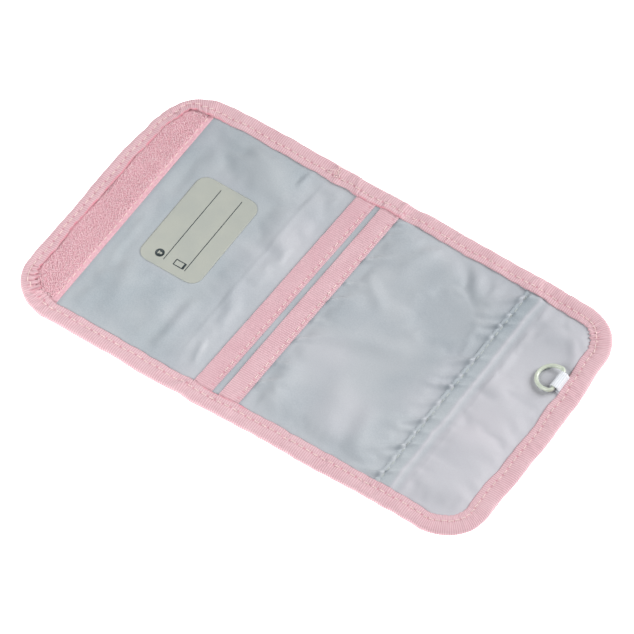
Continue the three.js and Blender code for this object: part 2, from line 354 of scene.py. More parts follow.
# ---------------------------------------------------------------- mesh helpers

def grid_faces(rows, cols, wrap_rows=False, wrap_cols=False, flip=False):
    i = np.arange(rows if wrap_rows else rows - 1)
    j = np.arange(cols if wrap_cols else cols - 1)
    i, j = np.meshgrid(i, j, indexing="ij")
    a, b = i * cols + j, i * cols + (j + 1) % cols
    c, d = (i + 1) % rows * cols + (j + 1) % cols, (i + 1) % rows * cols + j
    faces = np.stack([a, b, c, d] if flip else [a, d, c, b], axis=-1)
    return faces.reshape(-1, 4)


def ribbon_faces(rows, cols):
    """Faces of a closed tube of rows rings, with a flat cap at each end."""
    faces = grid_faces(rows, cols, wrap_cols=True).tolist()
    return faces + [list(range(cols)), list(reversed(range((rows - 1) * cols, rows * cols)))]


def laid(points):
    """The wallet isn't quite square: it lies a little wide, and its left half is wider than its right."""
    points = np.array(points, float).reshape(-1, 3)
    x, y = points[:, 0].copy(), points[:, 1].copy()
    points[:, 0] = x - SKEW * x**2 - 0.3 * SKEW * x * y
    points[:, 1] = SPREAD * y - SKEW * x * y
    return points


def new_object(name, data):
    made = bpy.data.objects.new(name, data)
    bpy.context.scene.collection.objects.link(made)
    return made


def new_piece(name, points, faces, material, square=False, **shades):
    """A smooth mesh object from points in millimetres. shades are point attributes for the material."""
    mesh = bpy.data.meshes.new(name)
    points = np.array(points, float).reshape(-1, 3) if square else laid(points)
    mesh.from_pydata((points * MM).tolist(), [], [list(map(int, f)) for f in faces])
    mesh.shade_smooth()
    mesh.materials.append(material)
    for attribute, values in shades.items():
        data = mesh.attributes.new(attribute, "FLOAT", "POINT").data
        data.foreach_set("value", np.asarray(values, np.float32).ravel())
    return new_object(name, mesh)


def thin_sheet(name, x, y, top, thickness, material, **shades):
    """A closed thin sheet over a grid of x and y."""
    rows, cols = x.shape
    upper = np.stack([x, y, top], axis=-1).reshape(-1, 3)
    lower = upper - [0, 0, thickness]
    count = rows * cols
    faces = [grid_faces(rows, cols), grid_faces(rows, cols, flip=True) + count]
    rim = np.concatenate([
        np.arange(cols),
        np.arange(1, rows) * cols + cols - 1,
        (rows - 1) * cols + np.arange(cols - 2, -1, -1),
        np.arange(rows - 2, 0, -1) * cols,
    ])
    follow = np.roll(rim, -1)
    faces.append(np.stack([rim, follow, follow + count, rim + count], axis=-1))
    doubled = {k: np.concatenate([v.ravel(), v.ravel()]) for k, v in shades.items()}
    return new_piece(name, np.concatenate([upper, lower]), np.concatenate(faces), material, **doubled)


def panel_grid(left, right, inset, step, fold=None):
    """Points of the wallet's outline, set in, from x = left to right. left and right may depend on y."""
    rows = round((2 * SIDE_Y - 2 * inset) / step) + 1
    v = np.linspace(-1, 1, rows)
    y = v * (SIDE_Y - inset)
    low, high = left(y), right(y)
    low = np.maximum(low, inset - END_X + corner_depth(-1, y, inset))
    high = np.minimum(high, END_X - inset - corner_depth(1, y, inset))
    cols = round(float((high - low).max()) / step) + 1
    u = np.linspace(0, 1, cols)
    if fold is not None:
        u = gathered(u, low.mean(), high.mean(), fold)
    x = low[:, None] * (1 - u) + high[:, None] * u
    return x, np.repeat(y[:, None], len(u), axis=1)


def corner_depth(end, y, inset):
    """How far the rounded corners cut into one end of a panel at y."""
    radius = corner_radius(end + 0 * y, y)
    corner = radius - inset
    return corner - np.sqrt(np.maximum(corner**2 - np.maximum(np.abs(y) - (SIDE_Y - radius), 0) ** 2, 0))


def gathered(u, low, high, fold):
    """Extra columns near a fold."""
    extra = (np.linspace(fold - FOLD_HALF, fold + FOLD_HALF, 21) - low) / (high - low)
    return np.unique(np.concatenate([u[(u < extra[0] - 0.002) | (u > extra[-1] + 0.002)], extra]))


def fold_blend(piece):
    """Bakes the piece's transform into its mesh."""
    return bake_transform(piece)


def threads(name, centres, tangents, normals, length, radius, material, lift=0.1):
    """One mesh of many stitches. Each is a short arched thread that dives into the cloth at both ends."""
    sides, rings = 6, 9
    t = np.linspace(-1, 1, rings)
    height = lift * (1 - t**4) - 0.28 * np.abs(t) ** 7
    thick = radius * (1 - 0.45 * np.abs(t) ** 5)
    angle = np.linspace(0, 2 * math.pi, sides, endpoint=False)
    u = np.repeat(t * length / 2, sides)
    side = (thick[:, None] * np.cos(angle)).ravel()
    up = (height[:, None] + thick[:, None] * 0.85 * np.sin(angle)).ravel()
    across = np.cross(normals, tangents)
    points = (
        centres[:, None]
        + tangents[:, None] * u[None, :, None]
        + across[:, None] * side[None, :, None]
        + normals[:, None] * up[None, :, None]
    )
    body = grid_faces(rings, sides, wrap_cols=True)
    faces = []
    for n in range(len(centres)):
        base = n * rings * sides
        faces.extend((body + base).tolist())
        faces.append([base + k for k in range(sides)])
        faces.append([base + (rings - 1) * sides + k for k in reversed(range(sides))])
    return new_piece(name, points, faces, material)


def stitch_places(first, last):
    """The middles of the stitches numbered from first up to last."""
    return (np.arange(first, last) + 0.5) * STITCH_PITCH


def straight_stitches(name, x, y, z, lean, material, radius=THREAD_RADIUS):
    """A row of stitches across the wallet, which leans by lean."""
    centres = np.stack([x, y, z], axis=-1)
    tangents = np.tile(np.array([lean, 1, 0]) / math.hypot(lean, 1), (len(y), 1))
    ups = np.tile([0.0, 0.0, 1.0], (len(y), 1))
    return threads(name, centres, tangents, ups, STITCH_LENGTH, radius, material)


# ---------------------------------------------------------------- cloth simulation

# The cloth is simulated ten times too large, on a coarser grid, for a second of settling.
CLOTH_SCALE = 10
CLOTH_CELL = 1.9
CLOTH_FRAMES = 24
RISE_MOST = 1.3


def coarse(count, step):
    """Rows or columns of a fine grid about CLOTH_CELL apart, for the simulation."""
    places = np.linspace(0, count - 1, max(2, round(count * step / CLOTH_CELL)))
    return np.unique(places.round().astype(int))


def refined(values, i, j, rows, cols):
    """Values at some rows and columns of a grid, spread smoothly over the whole grid."""
    along = np.stack([np.interp(np.arange(rows), i, column) for column in values.T], axis=1)
    full = np.stack([np.interp(np.arange(cols), j, row) for row in along])
    for _ in range(3):
        full[1:-1] = 0.25 * full[:-2] + 0.5 * full[1:-1] + 0.25 * full[2:]
        full[:, 1:-1] = 0.25 * full[:, :-2] + 0.5 * full[:, 1:-1] + 0.25 * full[:, 2:]
    return full


def draped(x, y, top, held, step, spare, seed):
    """The sheet's height once Blender's cloth has settled with some spare cloth between its seams."""
    rows, cols = x.shape
    i, j = coarse(rows, step), coarse(cols, step)
    pick = np.ix_(i, j)
    rough = top[pick] + 0.12 * noise(x[pick], y[pick], 5, seed)
    start = np.stack([x[pick], y[pick], rough], axis=-1).reshape(-1, 3)
    mesh = bpy.data.meshes.new("cloth")
    mesh.from_pydata((start * MM * CLOTH_SCALE).tolist(), [], grid_faces(len(i), len(j)).tolist())
    cloth = new_object("cloth", mesh)
    group = cloth.vertex_groups.new(name="held")
    for index, weight in enumerate(held[pick].ravel()):
        group.add([index], float(weight), "REPLACE")
    modifier = cloth.modifiers.new("cloth", "CLOTH")
    settings = modifier.settings
    settings.quality = 6
    settings.mass = 0.12
    settings.tension_stiffness = settings.compression_stiffness = 12
    settings.shear_stiffness = 4
    settings.bending_stiffness = 0.4
    settings.shrink_min = -spare
    settings.vertex_group_mass = "held"
    # A slight upward pull stands for the layers below, which hold the slack cloth up.
    settings.effector_weights.gravity = -0.15
    modifier.collision_settings.use_collision = False
    modifier.point_cache.frame_start = 1
    modifier.point_cache.frame_end = CLOTH_FRAMES
    for time in range(1, CLOTH_FRAMES + 1):
        bpy.context.scene.frame_set(time)
    settled = cloth.evaluated_get(bpy.context.evaluated_depsgraph_get()).data
    after = np.empty(len(start) * 3)
    settled.vertices.foreach_get("co", after)
    rise = after.reshape(-1, 3)[:, 2] / MM / CLOTH_SCALE - top[pick].ravel()
    rise = np.where(rise < 0, 0.35 * rise, rise) * (1 - held[pick].ravel())
    rise = RISE_MOST * np.tanh(rise / RISE_MOST)
    bpy.data.objects.remove(cloth)
    bpy.data.meshes.remove(mesh)
    bpy.context.scene.frame_set(1)
    return top + refined(rise.reshape(len(i), len(j)), i, j, rows, cols)


# ---------------------------------------------------------------- materials

class Graph:
    """A material's nodes, with its Principled shader."""

    def __init__(self, name, colour, roughness, sheen=0.0, coat=0.0):
        self.material = bpy.data.materials.new(name)
        self.material.use_nodes = True
        self.tree = self.material.node_tree
        self.shader = self.tree.nodes["Principled BSDF"]
        self.shader.inputs["Base Color"].default_value = (*colour, 1)
        self.shader.inputs["Roughness"].default_value = roughness
        self.shader.inputs["Sheen Weight"].default_value = sheen
        self.shader.inputs["Coat Weight"].default_value = coat
        self.shader.inputs["Specular IOR Level"].default_value = 0.35
        self.place = None

    def node(self, kind, settings=(), **inputs):
        made = self.tree.nodes.new("ShaderNode" + kind)
        for key, value in dict(settings).items():
            setattr(made, key, value)
        for key, value in inputs.items():
            socket = made.inputs[int(key[1:])] if key[0] == "i" and key[1:].isdigit() else made.inputs[key]
            if isinstance(value, bpy.types.NodeSocket):
                self.tree.links.new(value, socket)
            else:
                socket.default_value = value
        return made

    def millimetres(self, turn=0.0):
        """The place on the object, in millimetres."""
        place = self.node("TexCoord").outputs["Object"]
        scaled = self.node("Mapping", Vector=place, Scale=(1000, 1000, 1000), Rotation=(0, 0, turn))
        return scaled.outputs["Vector"]

    def noise(self, size, detail=3.0):
        made = self.node("TexNoise", Vector=self.millimetres(), Scale=1 / size, Detail=detail)
        return made.outputs["Fac"]

    def bands(self, pitch, direction="X", turn=0.0):
        """Soft bands. A wave texture of scale 1 repeats every 0.314."""
        settings = {"wave_type": "BANDS", "bands_direction": direction, "wave_profile": "SIN"}
        place = self.millimetres(turn)
        made = self.node("TexWave", settings, Vector=place, Scale=0.314 / pitch, Distortion=0.6)
        return made.outputs["Fac"]

    def attribute(self, name):
        return self.node("Attribute", {"attribute_name": name}).outputs["Fac"]

    def ramp(self, fac, low, high, first, last):
        made = self.node("MapRange", i0=fac)
        for index, value in enumerate((low, high, first, last), 1):
            made.inputs[index].default_value = value
        return made.outputs[0]

    def maths(self, operation, a, b):
        return self.node("Math", {"operation": operation}, i0=a, i1=b).outputs[0]

    def mix(self, fac, a, b):
        made = self.tree.nodes.new("ShaderNodeMix")
        made.data_type = "RGBA"
        for index, value in ((0, fac), (6, a), (7, b)):
            if isinstance(value, bpy.types.NodeSocket):
                self.tree.links.new(value, made.inputs[index])
            else:
                made.inputs[index].default_value = value if index == 0 else (*value, 1)
        return made.outputs[2]

    def mottled(self, size, low, high, most, first, second, detail=3.0):
        """The first colour, with up to most of the second as noise of this size goes from low to high."""
        return self.mix(self.ramp(self.noise(size, detail), low, high, 0.0, most), first, second)

    def colour(self, socket):
        self.tree.links.new(socket, self.shader.inputs["Base Color"])

    def roughness(self, socket):
        self.tree.links.new(socket, self.shader.inputs["Roughness"])

    def bump(self, height, distance, strength=1.0):
        made = self.node("Bump", Height=height, Distance=distance * MM, Strength=strength)
        self.tree.links.new(made.outputs["Normal"], self.shader.inputs["Normal"])


PINK = (0.79, 0.50, 0.545)
PINK_DEEP = (0.60, 0.24, 0.31)
PINK_RIB_SHADE = (0.59, 0.29, 0.35)
PINK_PALE = (0.86, 0.655, 0.68)
GREY = (0.48, 0.52, 0.55)
GREY_BLUE = (0.385, 0.44, 0.48)
LILAC = (0.635, 0.61, 0.66)
HOLE_SHADE_PINK = (0.56, 0.18, 0.24)
CREVICE_SHADE_PINK = (0.78, 0.29, 0.36)
SATIN_SHADE = (0.24, 0.28, 0.32)


def ribbon_material():
    """Grosgrain: pale ribs with deeper pink between them, as painted light on the crests and painted shade
    in the valleys; painted shade in the needle holes, and a deep pink painted shade along the binding's
    inner edge.
    """
    g = Graph("grosgrain_ribbon", PINK, 0.72, sheen=0.25)
    # The ribs' crests are painted lighter and their valleys darker: painted light and shade following the
    # rib relief.
    ribs = g.mix(g.attribute("rib"), PINK_RIB_SHADE, PINK_PALE)
    body = g.mix(0.22, ribs, PINK)
    uneven = g.mottled(9.0, 0.35, 0.7, 0.25, body, PINK_PALE)
    yarn = g.mottled(0.22, 0.3, 0.7, 0.15, uneven, PINK_DEEP, 2.0)
    # Painted shade in the needle holes, and a little along the binding's inner edge.
    hole_shaded = g.mix(g.attribute("hole"), yarn, HOLE_SHADE_PINK)
    # A deep pink painted shade along the binding's inner edge, where it meets what lies beneath.
    g.colour(g.mix(g.attribute("crevice"), hole_shaded, CREVICE_SHADE_PINK))
    g.bump(g.noise(0.2, 2.0), 0.03, 0.5)
    return g.material


def satin_material():
    """Thin satin: a faint diagonal twill, and lilac where the pink outer cloth shows through."""
    g = Graph("satin_lining", GREY, 0.5, sheen=0.1)
    g.shader.inputs["Specular IOR Level"].default_value = 0.5
    tone = g.mottled(24.0, 0.35, 0.65, 1.0, GREY_BLUE, GREY)
    tinted = g.mix(g.attribute("tint"), tone, LILAC)
    twill = g.bands(0.34, "DIAGONAL", turn=0.35)
    thready = g.mottled(0.55, 0.35, 0.65, 0.26, tinted, (0.66, 0.69, 0.72), 2.0)
    fine = g.mix(g.ramp(twill, 0, 1, 0.0, 0.10), thready, (0.70, 0.73, 0.76))
    g.colour(g.mix(g.attribute("shade"), fine, SATIN_SHADE))
    g.roughness(g.ramp(g.noise(5.0), 0.3, 0.7, 0.46, 0.56))
    g.bump(g.maths("ADD", twill, g.noise(1.6)), 0.02, 0.5)
    return g.material


def shell_material():
    """Plain-woven outer cloth."""
    g = Graph("outer_shell_cloth", PINK, 0.68, sheen=0.3)
    weave = g.maths("MULTIPLY", g.bands(0.5, "X"), g.bands(0.5, "Y"))
    woven = g.mix(g.ramp(weave, 0, 1, 0.0, 0.55), PINK, PINK_PALE)
    uneven = g.mottled(14.0, 0.35, 0.7, 0.4, woven, PINK_PALE)
    g.colour(g.mottled(0.4, 0.3, 0.7, 0.18, uneven, PINK_DEEP, 2.0))
    g.bump(weave, 0.06, 0.8)
    return g.material


def pile_material(name, pale, deep, roughness):
    g = Graph(name, pale, roughness, sheen=0.5)
    g.colour(g.mottled(0.8, 0.38, 0.62, 1.0, deep, pale))
    g.bump(g.noise(0.25, 2.0), 0.04, 0.6)
    return g.material


def label_material():
    g = Graph("woven_label", (0.50, 0.52, 0.465), 0.62, sheen=0.1)
    weave = g.maths("MULTIPLY", g.bands(0.3, "X"), g.bands(0.22, "Y"))
    base = g.mottled(8.0, 0.35, 0.65, 1.0, (0.455, 0.478, 0.435), (0.485, 0.503, 0.45))
    g.colour(g.mix(g.ramp(weave, 0, 1, 0.0, 0.12), base, (0.58, 0.60, 0.545)))
    g.bump(weave, 0.02, 0.4)
    return g.material


def print_material():
    g = Graph("label_print", (0.035, 0.05, 0.055), 0.6)
    speckle = g.ramp(g.noise(0.3, 2.0), 0.45, 0.75, 0.0, 0.6)
    g.colour(g.mix(speckle, (0.03, 0.045, 0.05), (0.16, 0.19, 0.19)))
    return g.material


def elastic_material():
    g = Graph("white_elastic", (0.84, 0.87, 0.93), 0.7, sheen=0.2)
    # The elastic's ribs are painted lighter on their crests and darker in their grooves: painted light and
    # shade following the rib attribute, which also sets their relief.
    ribs = g.mix(g.attribute("rib"), (0.72, 0.75, 0.81), (0.93, 0.95, 0.98))
    g.colour(g.mottled(0.3, 0.3, 0.7, 0.2, ribs, (0.75, 0.78, 0.85), 2.0))
    g.bump(g.noise(0.3, 2.0), 0.04, 0.5)
    return g.material


def ring_material():
    g = Graph("mint_enamel", (0.66, 0.72, 0.60), 0.32, coat=0.4)
    g.shader.inputs["Coat Roughness"].default_value = 0.2
    g.shader.inputs["Specular IOR Level"].default_value = 0.5
    g.colour(g.mottled(3.0, 0.3, 0.7, 1.0, (0.62, 0.69, 0.57), (0.71, 0.76, 0.64)))
    g.bump(g.noise(0.9), 0.02, 0.3)
    return g.material


def thread_material(name, pale, deep, roughness, relief):
    g = Graph(name, pale, roughness, sheen=0.2)
    twist = g.bands(0.35, "DIAGONAL")
    g.colour(g.mix(g.ramp(twist, 0, 1, 0.0, 0.5), pale, deep))
    if relief:
        g.bump(twist, relief, 0.5)
    return g.material


def foam_material():
    g = Graph("white_foam", (0.86, 0.86, 0.82), 0.9)
    g.colour(g.mottled(0.8, 0.35, 0.65, 1.0, (0.80, 0.80, 0.75), (0.90, 0.90, 0.87)))
    g.bump(g.noise(0.6), 0.1, 0.6)
    return g.material


RIBBON = ribbon_material()
SATIN = satin_material()
SHELL = shell_material()
PILE = pile_material("loop_pile", (0.98, 0.76, 0.79), (0.87, 0.51, 0.58), 0.85)
SELVAGE = pile_material("strip_selvage", (0.84, 0.51, 0.57), (0.74, 0.40, 0.46), 0.7)
HOOK = pile_material("hook_nylon", (0.80, 0.49, 0.54), (0.66, 0.33, 0.38), 0.5)
LABEL = label_material()
PRINT = print_material()
ELASTIC = elastic_material()
RING = ring_material()
THREAD = thread_material("sewing_thread", (0.97, 0.80, 0.76), (0.90, 0.66, 0.64), 0.65, 0.03)
GREY_THREAD = thread_material("hem_thread", (0.60, 0.64, 0.61), (0.46, 0.51, 0.51), 0.6, 0)
FOAM = foam_material()


# ---------------------------------------------------------------- the rim that the binding follows

FAR_LEFT, NEAR_LEFT, NEAR_RIGHT, FAR_RIGHT = CORNER_RADII
RUNS = (
    JOIN_X + END_X - FAR_LEFT,
    math.pi / 2 * FAR_LEFT,
    2 * SIDE_Y - FAR_LEFT - NEAR_LEFT,
    math.pi / 2 * NEAR_LEFT,
    2 * END_X - NEAR_LEFT - NEAR_RIGHT,
    math.pi / 2 * NEAR_RIGHT,
    2 * SIDE_Y - NEAR_RIGHT - FAR_RIGHT,
    math.pi / 2 * FAR_RIGHT,
    END_X - FAR_RIGHT - JOIN_X,
)
CORNERS = np.cumsum((0, *RUNS))
RIM_LENGTH = CORNERS[-1]
LEFT_LENGTH = CORNERS[4] + JOIN_X + END_X - NEAR_LEFT
HEADINGS = np.radians((180, 180, 270, 270, 360, 360, 450, 450, 540, 540))
RIM_S = np.linspace(0, RIM_LENGTH, 20001)
RIM_HEADING = np.interp(RIM_S, CORNERS, HEADINGS)
RIM_STEP = RIM_LENGTH / 20000
MIDWAY = (RIM_HEADING[:-1] + RIM_HEADING[1:]) / 2
RIM_X = JOIN_X + np.concatenate([[0], np.cumsum(np.cos(MIDWAY) * RIM_STEP)])
RIM_Y = SIDE_Y + np.concatenate([[0], np.cumsum(np.sin(MIDWAY) * RIM_STEP)])


def rim(s):
    """Place and heading at distance s round the wallet, from mid far side towards the left flap."""
    s = np.mod(s, RIM_LENGTH)
    return np.interp(s, RIM_S, RIM_X), np.interp(s, RIM_S, RIM_Y), np.interp(s, RIM_S, RIM_HEADING)


def far_side(x):
    """Distance round the rim of a place on the far side."""
    return (JOIN_X - x) % RIM_LENGTH


def near_side(x):
    return LEFT_LENGTH - JOIN_X + x


CORNER_MIDS = [(CORNERS[n] + CORNERS[n + 1]) / 2 for n in (1, 3, 5, 7)]

# Where the ribbon's end is lapped over its start.
JOIN_S = far_side(-32.0)

# Creases across the binding: place round the rim, height, half width and lean.
BINDING_CREASES = (
    (far_side(-34.5), 0.2, 1.3, 0.5), (far_side(-28), -0.22, 1.4, 0.3), (far_side(-22), 0.25, 1.3, -0.4),
    (far_side(-11), -0.2, 1.2, 0.4), (far_side(0), 0.3, 1.3, -0.3), (far_side(3.5), -0.2, 1.1, 0.3),
    (far_side(12), 0.25, 1.6, 0.5), (far_side(64), 0.25, 1.2, 0.3), (far_side(69), -0.25, 1.0, -0.4),
    (far_side(75), 0.3, 1.2, 0.5), (far_side(79), -0.2, 1.2, 0.2), (near_side(-26.4), 0.45, 1.0, 0.7),
    (near_side(-23.5), -0.2, 1.6, 0.5), (near_side(-14), 0.2, 1.8, 0.4), (near_side(60), 0.22, 1.2, 0.4),
    (near_side(64.5), -0.22, 1.0, -0.3), (near_side(76), 0.25, 1.2, 0.4), (near_side(82), -0.2, 1.1, 0.5),
    (near_side(28), 0.18, 2.0, 0.5), (far_side(38), 0.15, 2.0, 0.5),
)


def corner_gather(s):
    """How strongly the ribbon is gathered at s: most at the near left corner."""
    amount = 0
    for middle, strength in zip(CORNER_MIDS, (0.6, 2.9, 0.3, 0.9), strict=True):
        amount = amount + strength * bump(s - middle, 11)
    return amount


def ripple(s, d):
    """Height of the creases and gathers across the binding, d in from its outer edge."""
    lift = 0.0 * s
    for place, height, width, lean in BINDING_CREASES:
        lift = lift + height * bump(s - place - lean * (d - 4), width)
    waves = np.sin(2 * math.pi * s / 3.1 + 1.3 * noise(s, 0 * s, 7, 3) + 0.25 * d)
    waves = waves + 0.6 * np.sin(2 * math.pi * s / 1.9 + 2 * noise(s, 0 * s, 5, 4))
    patchy = smooth(noise(s, 0 * s, 11, 14), -0.4, 0.5)
    crease = 0.5 - np.abs(noise(s - 0.45 * d, 0.35 * d, 4.2, 15))
    soft = noise(s + 0.3 * d, 0.5 * d, 7, 16)
    wander = (0.55 * patchy + 0.12) * crease + 0.24 * soft
    flat_end = 1 - 0.6 * smooth(s, CORNERS[5] + 12, CORNERS[6]) * (1 - smooth(s, CORNERS[7], CORNERS[8]))
    return 1.7 * lift + flat_end * wander + 0.3 * corner_gather(s) * waves * smooth(d, 1.0, 5.5)


SIDE_WIDTHS = (8.4, 8.2, 6.4, 6.2, 8.0, 8.2, 9.4, 9.4, 8.6, 8.4)


def binding_width(s):
    """The binding's width on the inside face, which wanders a little and is ruffled at the corners."""
    plain = np.interp(s, CORNERS, SIDE_WIDTHS)
    on_left = smooth(s, CORNERS[1], CORNERS[2]) * (1 - smooth(s, CORNERS[3] - 8, CORNERS[3] + 8))
    wander = (0.4 + 0.35 * on_left) * noise(s, 0 * s, 8, 6) + 0.2 * noise(s, 0 * s, 3.2, 7)
    ruffle = 0.4 * corner_gather(s) * np.sin(2 * math.pi * s / 3.4 + 1.7 * noise(s, 0 * s, 6, 8))
    return plain + wander + ruffle - 1.9 * bump(s - CORNER_MIDS[0], 6)


# Where the outline bows in, or out where negative: place, how far, and half width.
RIM_BOWS = (
    (CORNERS[2] - 3, 1.6, 13),
    (near_side(-32), -0.9, 30),
    (CORNERS[6] + 3, 1.5, 12),
    (CORNERS[7] - 2, 1.3, 10),
    (CORNERS[1] + 4, 0.6, 10),
    (far_side(-33), 0.5, 3.5),
    (near_side(-26), 0.6, 3.0),
)


def rim_points(s, inward, height):
    """Points set in from the rim. The rim itself is a little uneven."""
    x, y, heading = rim(s)
    for place, bow, width in RIM_BOWS:
        inward = inward + bow * bump(s - place, width)
    inward = inward + 0.2 + 0.35 * noise(s, 0 * s, 12, 9) + 0.22 * noise(s, 0 * s, 4.5, 10)
    return np.stack([x - np.sin(heading) * inward, y + np.cos(heading) * inward, height], axis=-1)


def hole_mark(s, off):
    """1 at each needle hole of a row of stitches. off is the distance from the row."""
    phase = np.mod(s + STITCH_PITCH / 2, STITCH_PITCH) - STITCH_PITCH / 2
    return bump(np.hypot(phase, off), 0.4)


def binding_top(s, d, width):
    """Height of the binding's upper face: a soft roll that is drawn down at the stitches."""
    x, y, heading = rim(s)
    edge_x, edge_y = x - np.sin(heading) * width, y + np.cos(heading) * width
    rest = under_binding(edge_x, edge_y) + TAPE + 0.03
    fall = smooth(d, 1.0, 9.5)
    height = ROLL_TOP * (1 - fall) + rest * fall
    end = smooth(d - width, -2.2, 0)
    height = height * (1 - end) + rest * end
    row = width - STITCH_IN
    height = height + 0.16 * bump(d - row + 2.6, 1.5) - 0.16 * bump(d - row, 0.6)
    lapped = smooth(s, JOIN_S - 9, JOIN_S - 6) * (1 - smooth(s, JOIN_S - 0.15, JOIN_S + 0.15))
    height = height + 0.28 * lapped
    height = height + ripple(s, d) * smooth(d, 0.4, 2.4) * (1 - 0.6 * smooth(d - width, -1.5, 0))
    return height - 0.65 * np.maximum(height - GATHER_TOP, 0)


# Points across the binding: on its upper face, then round its roll, and as many on its lower face.
UPPER_ROWS = 15
ROLL_ROWS = 8


def binding_profile(s):
    """One ring of points for each s: upper face, roll, lower face, and back inside the fold."""
    width = binding_width(s)[:, None]
    upper = np.linspace(1, 0, UPPER_ROWS)[None, :]
    d_up = ROLL_REACH + (width - ROLL_REACH) * upper
    ss = np.broadcast_to(s[:, None], d_up.shape)
    z_up = binding_top(ss, d_up, width)
    turn = np.linspace(0, math.pi, ROLL_ROWS + 2)[None, 1:-1]
    crest = z_up[:, -1:]
    d_roll = ROLL_REACH - ROLL_REACH * np.sin(turn) + 0 * width
    z_roll = crest / 2 + (crest / 2 - 0.03) * np.cos(turn)
    d_low = ROLL_REACH + (width - ROLL_REACH) * np.linspace(0, 1, ROLL_ROWS)[None, :]
    gathers = (0.5 + 0.5 * np.sin(ss[:, :1] / 1.3)) * corner_gather(s)[:, None]
    z_low = 0.04 + 0.12 * smooth(d_low, 2, 8) * gathers
    d_in = np.concatenate([width - 0.02 + 0 * width, 2.3 + 0 * width], axis=1)
    z_in_low = np.concatenate([z_low[:, -1:] + TAPE, z_low[:, :1] + TAPE], axis=1)
    z_in_up = np.concatenate([crest - TAPE, z_up[:, :1] - TAPE], axis=1)
    d = np.concatenate([d_up, d_roll, d_low, d_in, d_in[:, ::-1]], axis=1)
    z = np.concatenate([z_up, z_roll, z_low, z_in_low, z_in_up], axis=1)
    return d, z


def crevice(s, shape):
    """Painted shade along the binding's inner edge, beside the loop strip and the pocket mouths: a deep
    pink line that stands for the shadow and the pink light bounced into the crevice there.
    """
    on_left = smooth(s, CORNERS[1] - 6, CORNERS[1] + 6) * (1 - smooth(s, CORNERS[4] - 12, CORNERS[4]))
    on_tapes = between(rim(s)[0], REAR_MOUTH, FRONT_MOUTH + 12, 2.0)
    ragged = np.clip(0.65 + 0.8 * noise(s, 0 * s, 1.7, 12), 0, 1)
    amount = np.maximum(on_left, 0.7 * on_tapes) * ragged * (1 - 0.6 * bump(s - CORNER_MIDS[1], 12))
    deep = np.zeros(shape)
    deep[:, 0] = deep[:, -1] = amount
    deep[:, 1] = 0.95 * amount
    deep[:, 2] = 0.5 * amount * np.clip(noise(s, 0 * s, 1.1, 13) + 0.5, 0, 1)
    return deep


def binding_piece(name, start, end):
    """A length of binding, from start to end round the rim, with its ribs and needle holes as relief."""
    ribs = round((end - start) / RIB_PITCH)
    s = np.linspace(start, end, ribs * RIB_STEPS + 1)
    d, z = binding_profile(s)
    rows, cols = d.shape
    outer = UPPER_ROWS + 2 * ROLL_ROWS
    phase = 2 * math.pi * np.arange(rows) / RIB_STEPS
    # rib is the ribs' height, 0 in the valleys and 1 on the crests; the material paints light and shade
    # from it.
    rib = 0.5 + 0.5 * np.cos(phase)[:, None] + np.zeros((rows, cols))
    rib[:, outer:] = 0.5
    out_d = np.gradient(z, axis=1)
    out_z = -np.gradient(d, axis=1)
    size = np.maximum(np.hypot(out_d, out_z), 1e-6)
    raised = (rib - 0.5) * RIB_HEIGHT * 2
    raised[:, UPPER_ROWS:UPPER_ROWS + ROLL_ROWS] *= 0.4
    raised[:, outer:] = 0
    width = binding_width(s)[:, None]
    # The needle holes are dented below, and the material darkens them: painted shade in the needle holes.
    holes = hole_mark(s[:, None], d - (width - STITCH_IN))
    holes[:, UPPER_ROWS:] = 0
    # The inner edge's first column gets a little of the same darkening: painted shade under the binding's
    # edge.
    holes[:, 0] = 0.25
    # deep marks the painted shade along the inner edge; it also dents the edge a little.
    deep = crevice(s, holes.shape)
    d = d - out_d / size * raised
    z = z - out_z / size * raised - 0.2 * holes - 0.12 * deep
    ss = np.broadcast_to(s[:, None], d.shape)
    points = rim_points(ss, d, np.maximum(z, 0.01))
    faces = ribbon_faces(rows, cols)
    return new_piece(name, points, faces, RIBBON, rib=rib, hole=holes * 0.85, crevice=deep)


def binding_stitches(name, start, end):
    """Stitches along the binding on its upper and lower faces."""
    first = math.ceil(start / STITCH_PITCH - 0.5)
    last = math.floor(end / STITCH_PITCH - 0.5)
    s = stitch_places(first, last + 1)
    width = binding_width(s)
    row = width - STITCH_IN
    _, _, heading = rim(s)
    tangents = np.stack([np.cos(heading), np.sin(heading), 0 * s], axis=-1)
    upper = rim_points(s, row, binding_top(s, row, width) + 0.06)
    lower = rim_points(s, row, 0 * s + 0.24)
    up = np.tile([0.0, 0.0, 1.0], (len(s), 1))
    centres = np.concatenate([upper, lower])
    normals = np.concatenate([up, -up])
    tangents = np.tile(tangents, (2, 1))
    return threads(name, centres, tangents, normals, STITCH_LENGTH, THREAD_RADIUS, THREAD, lift=0.12)


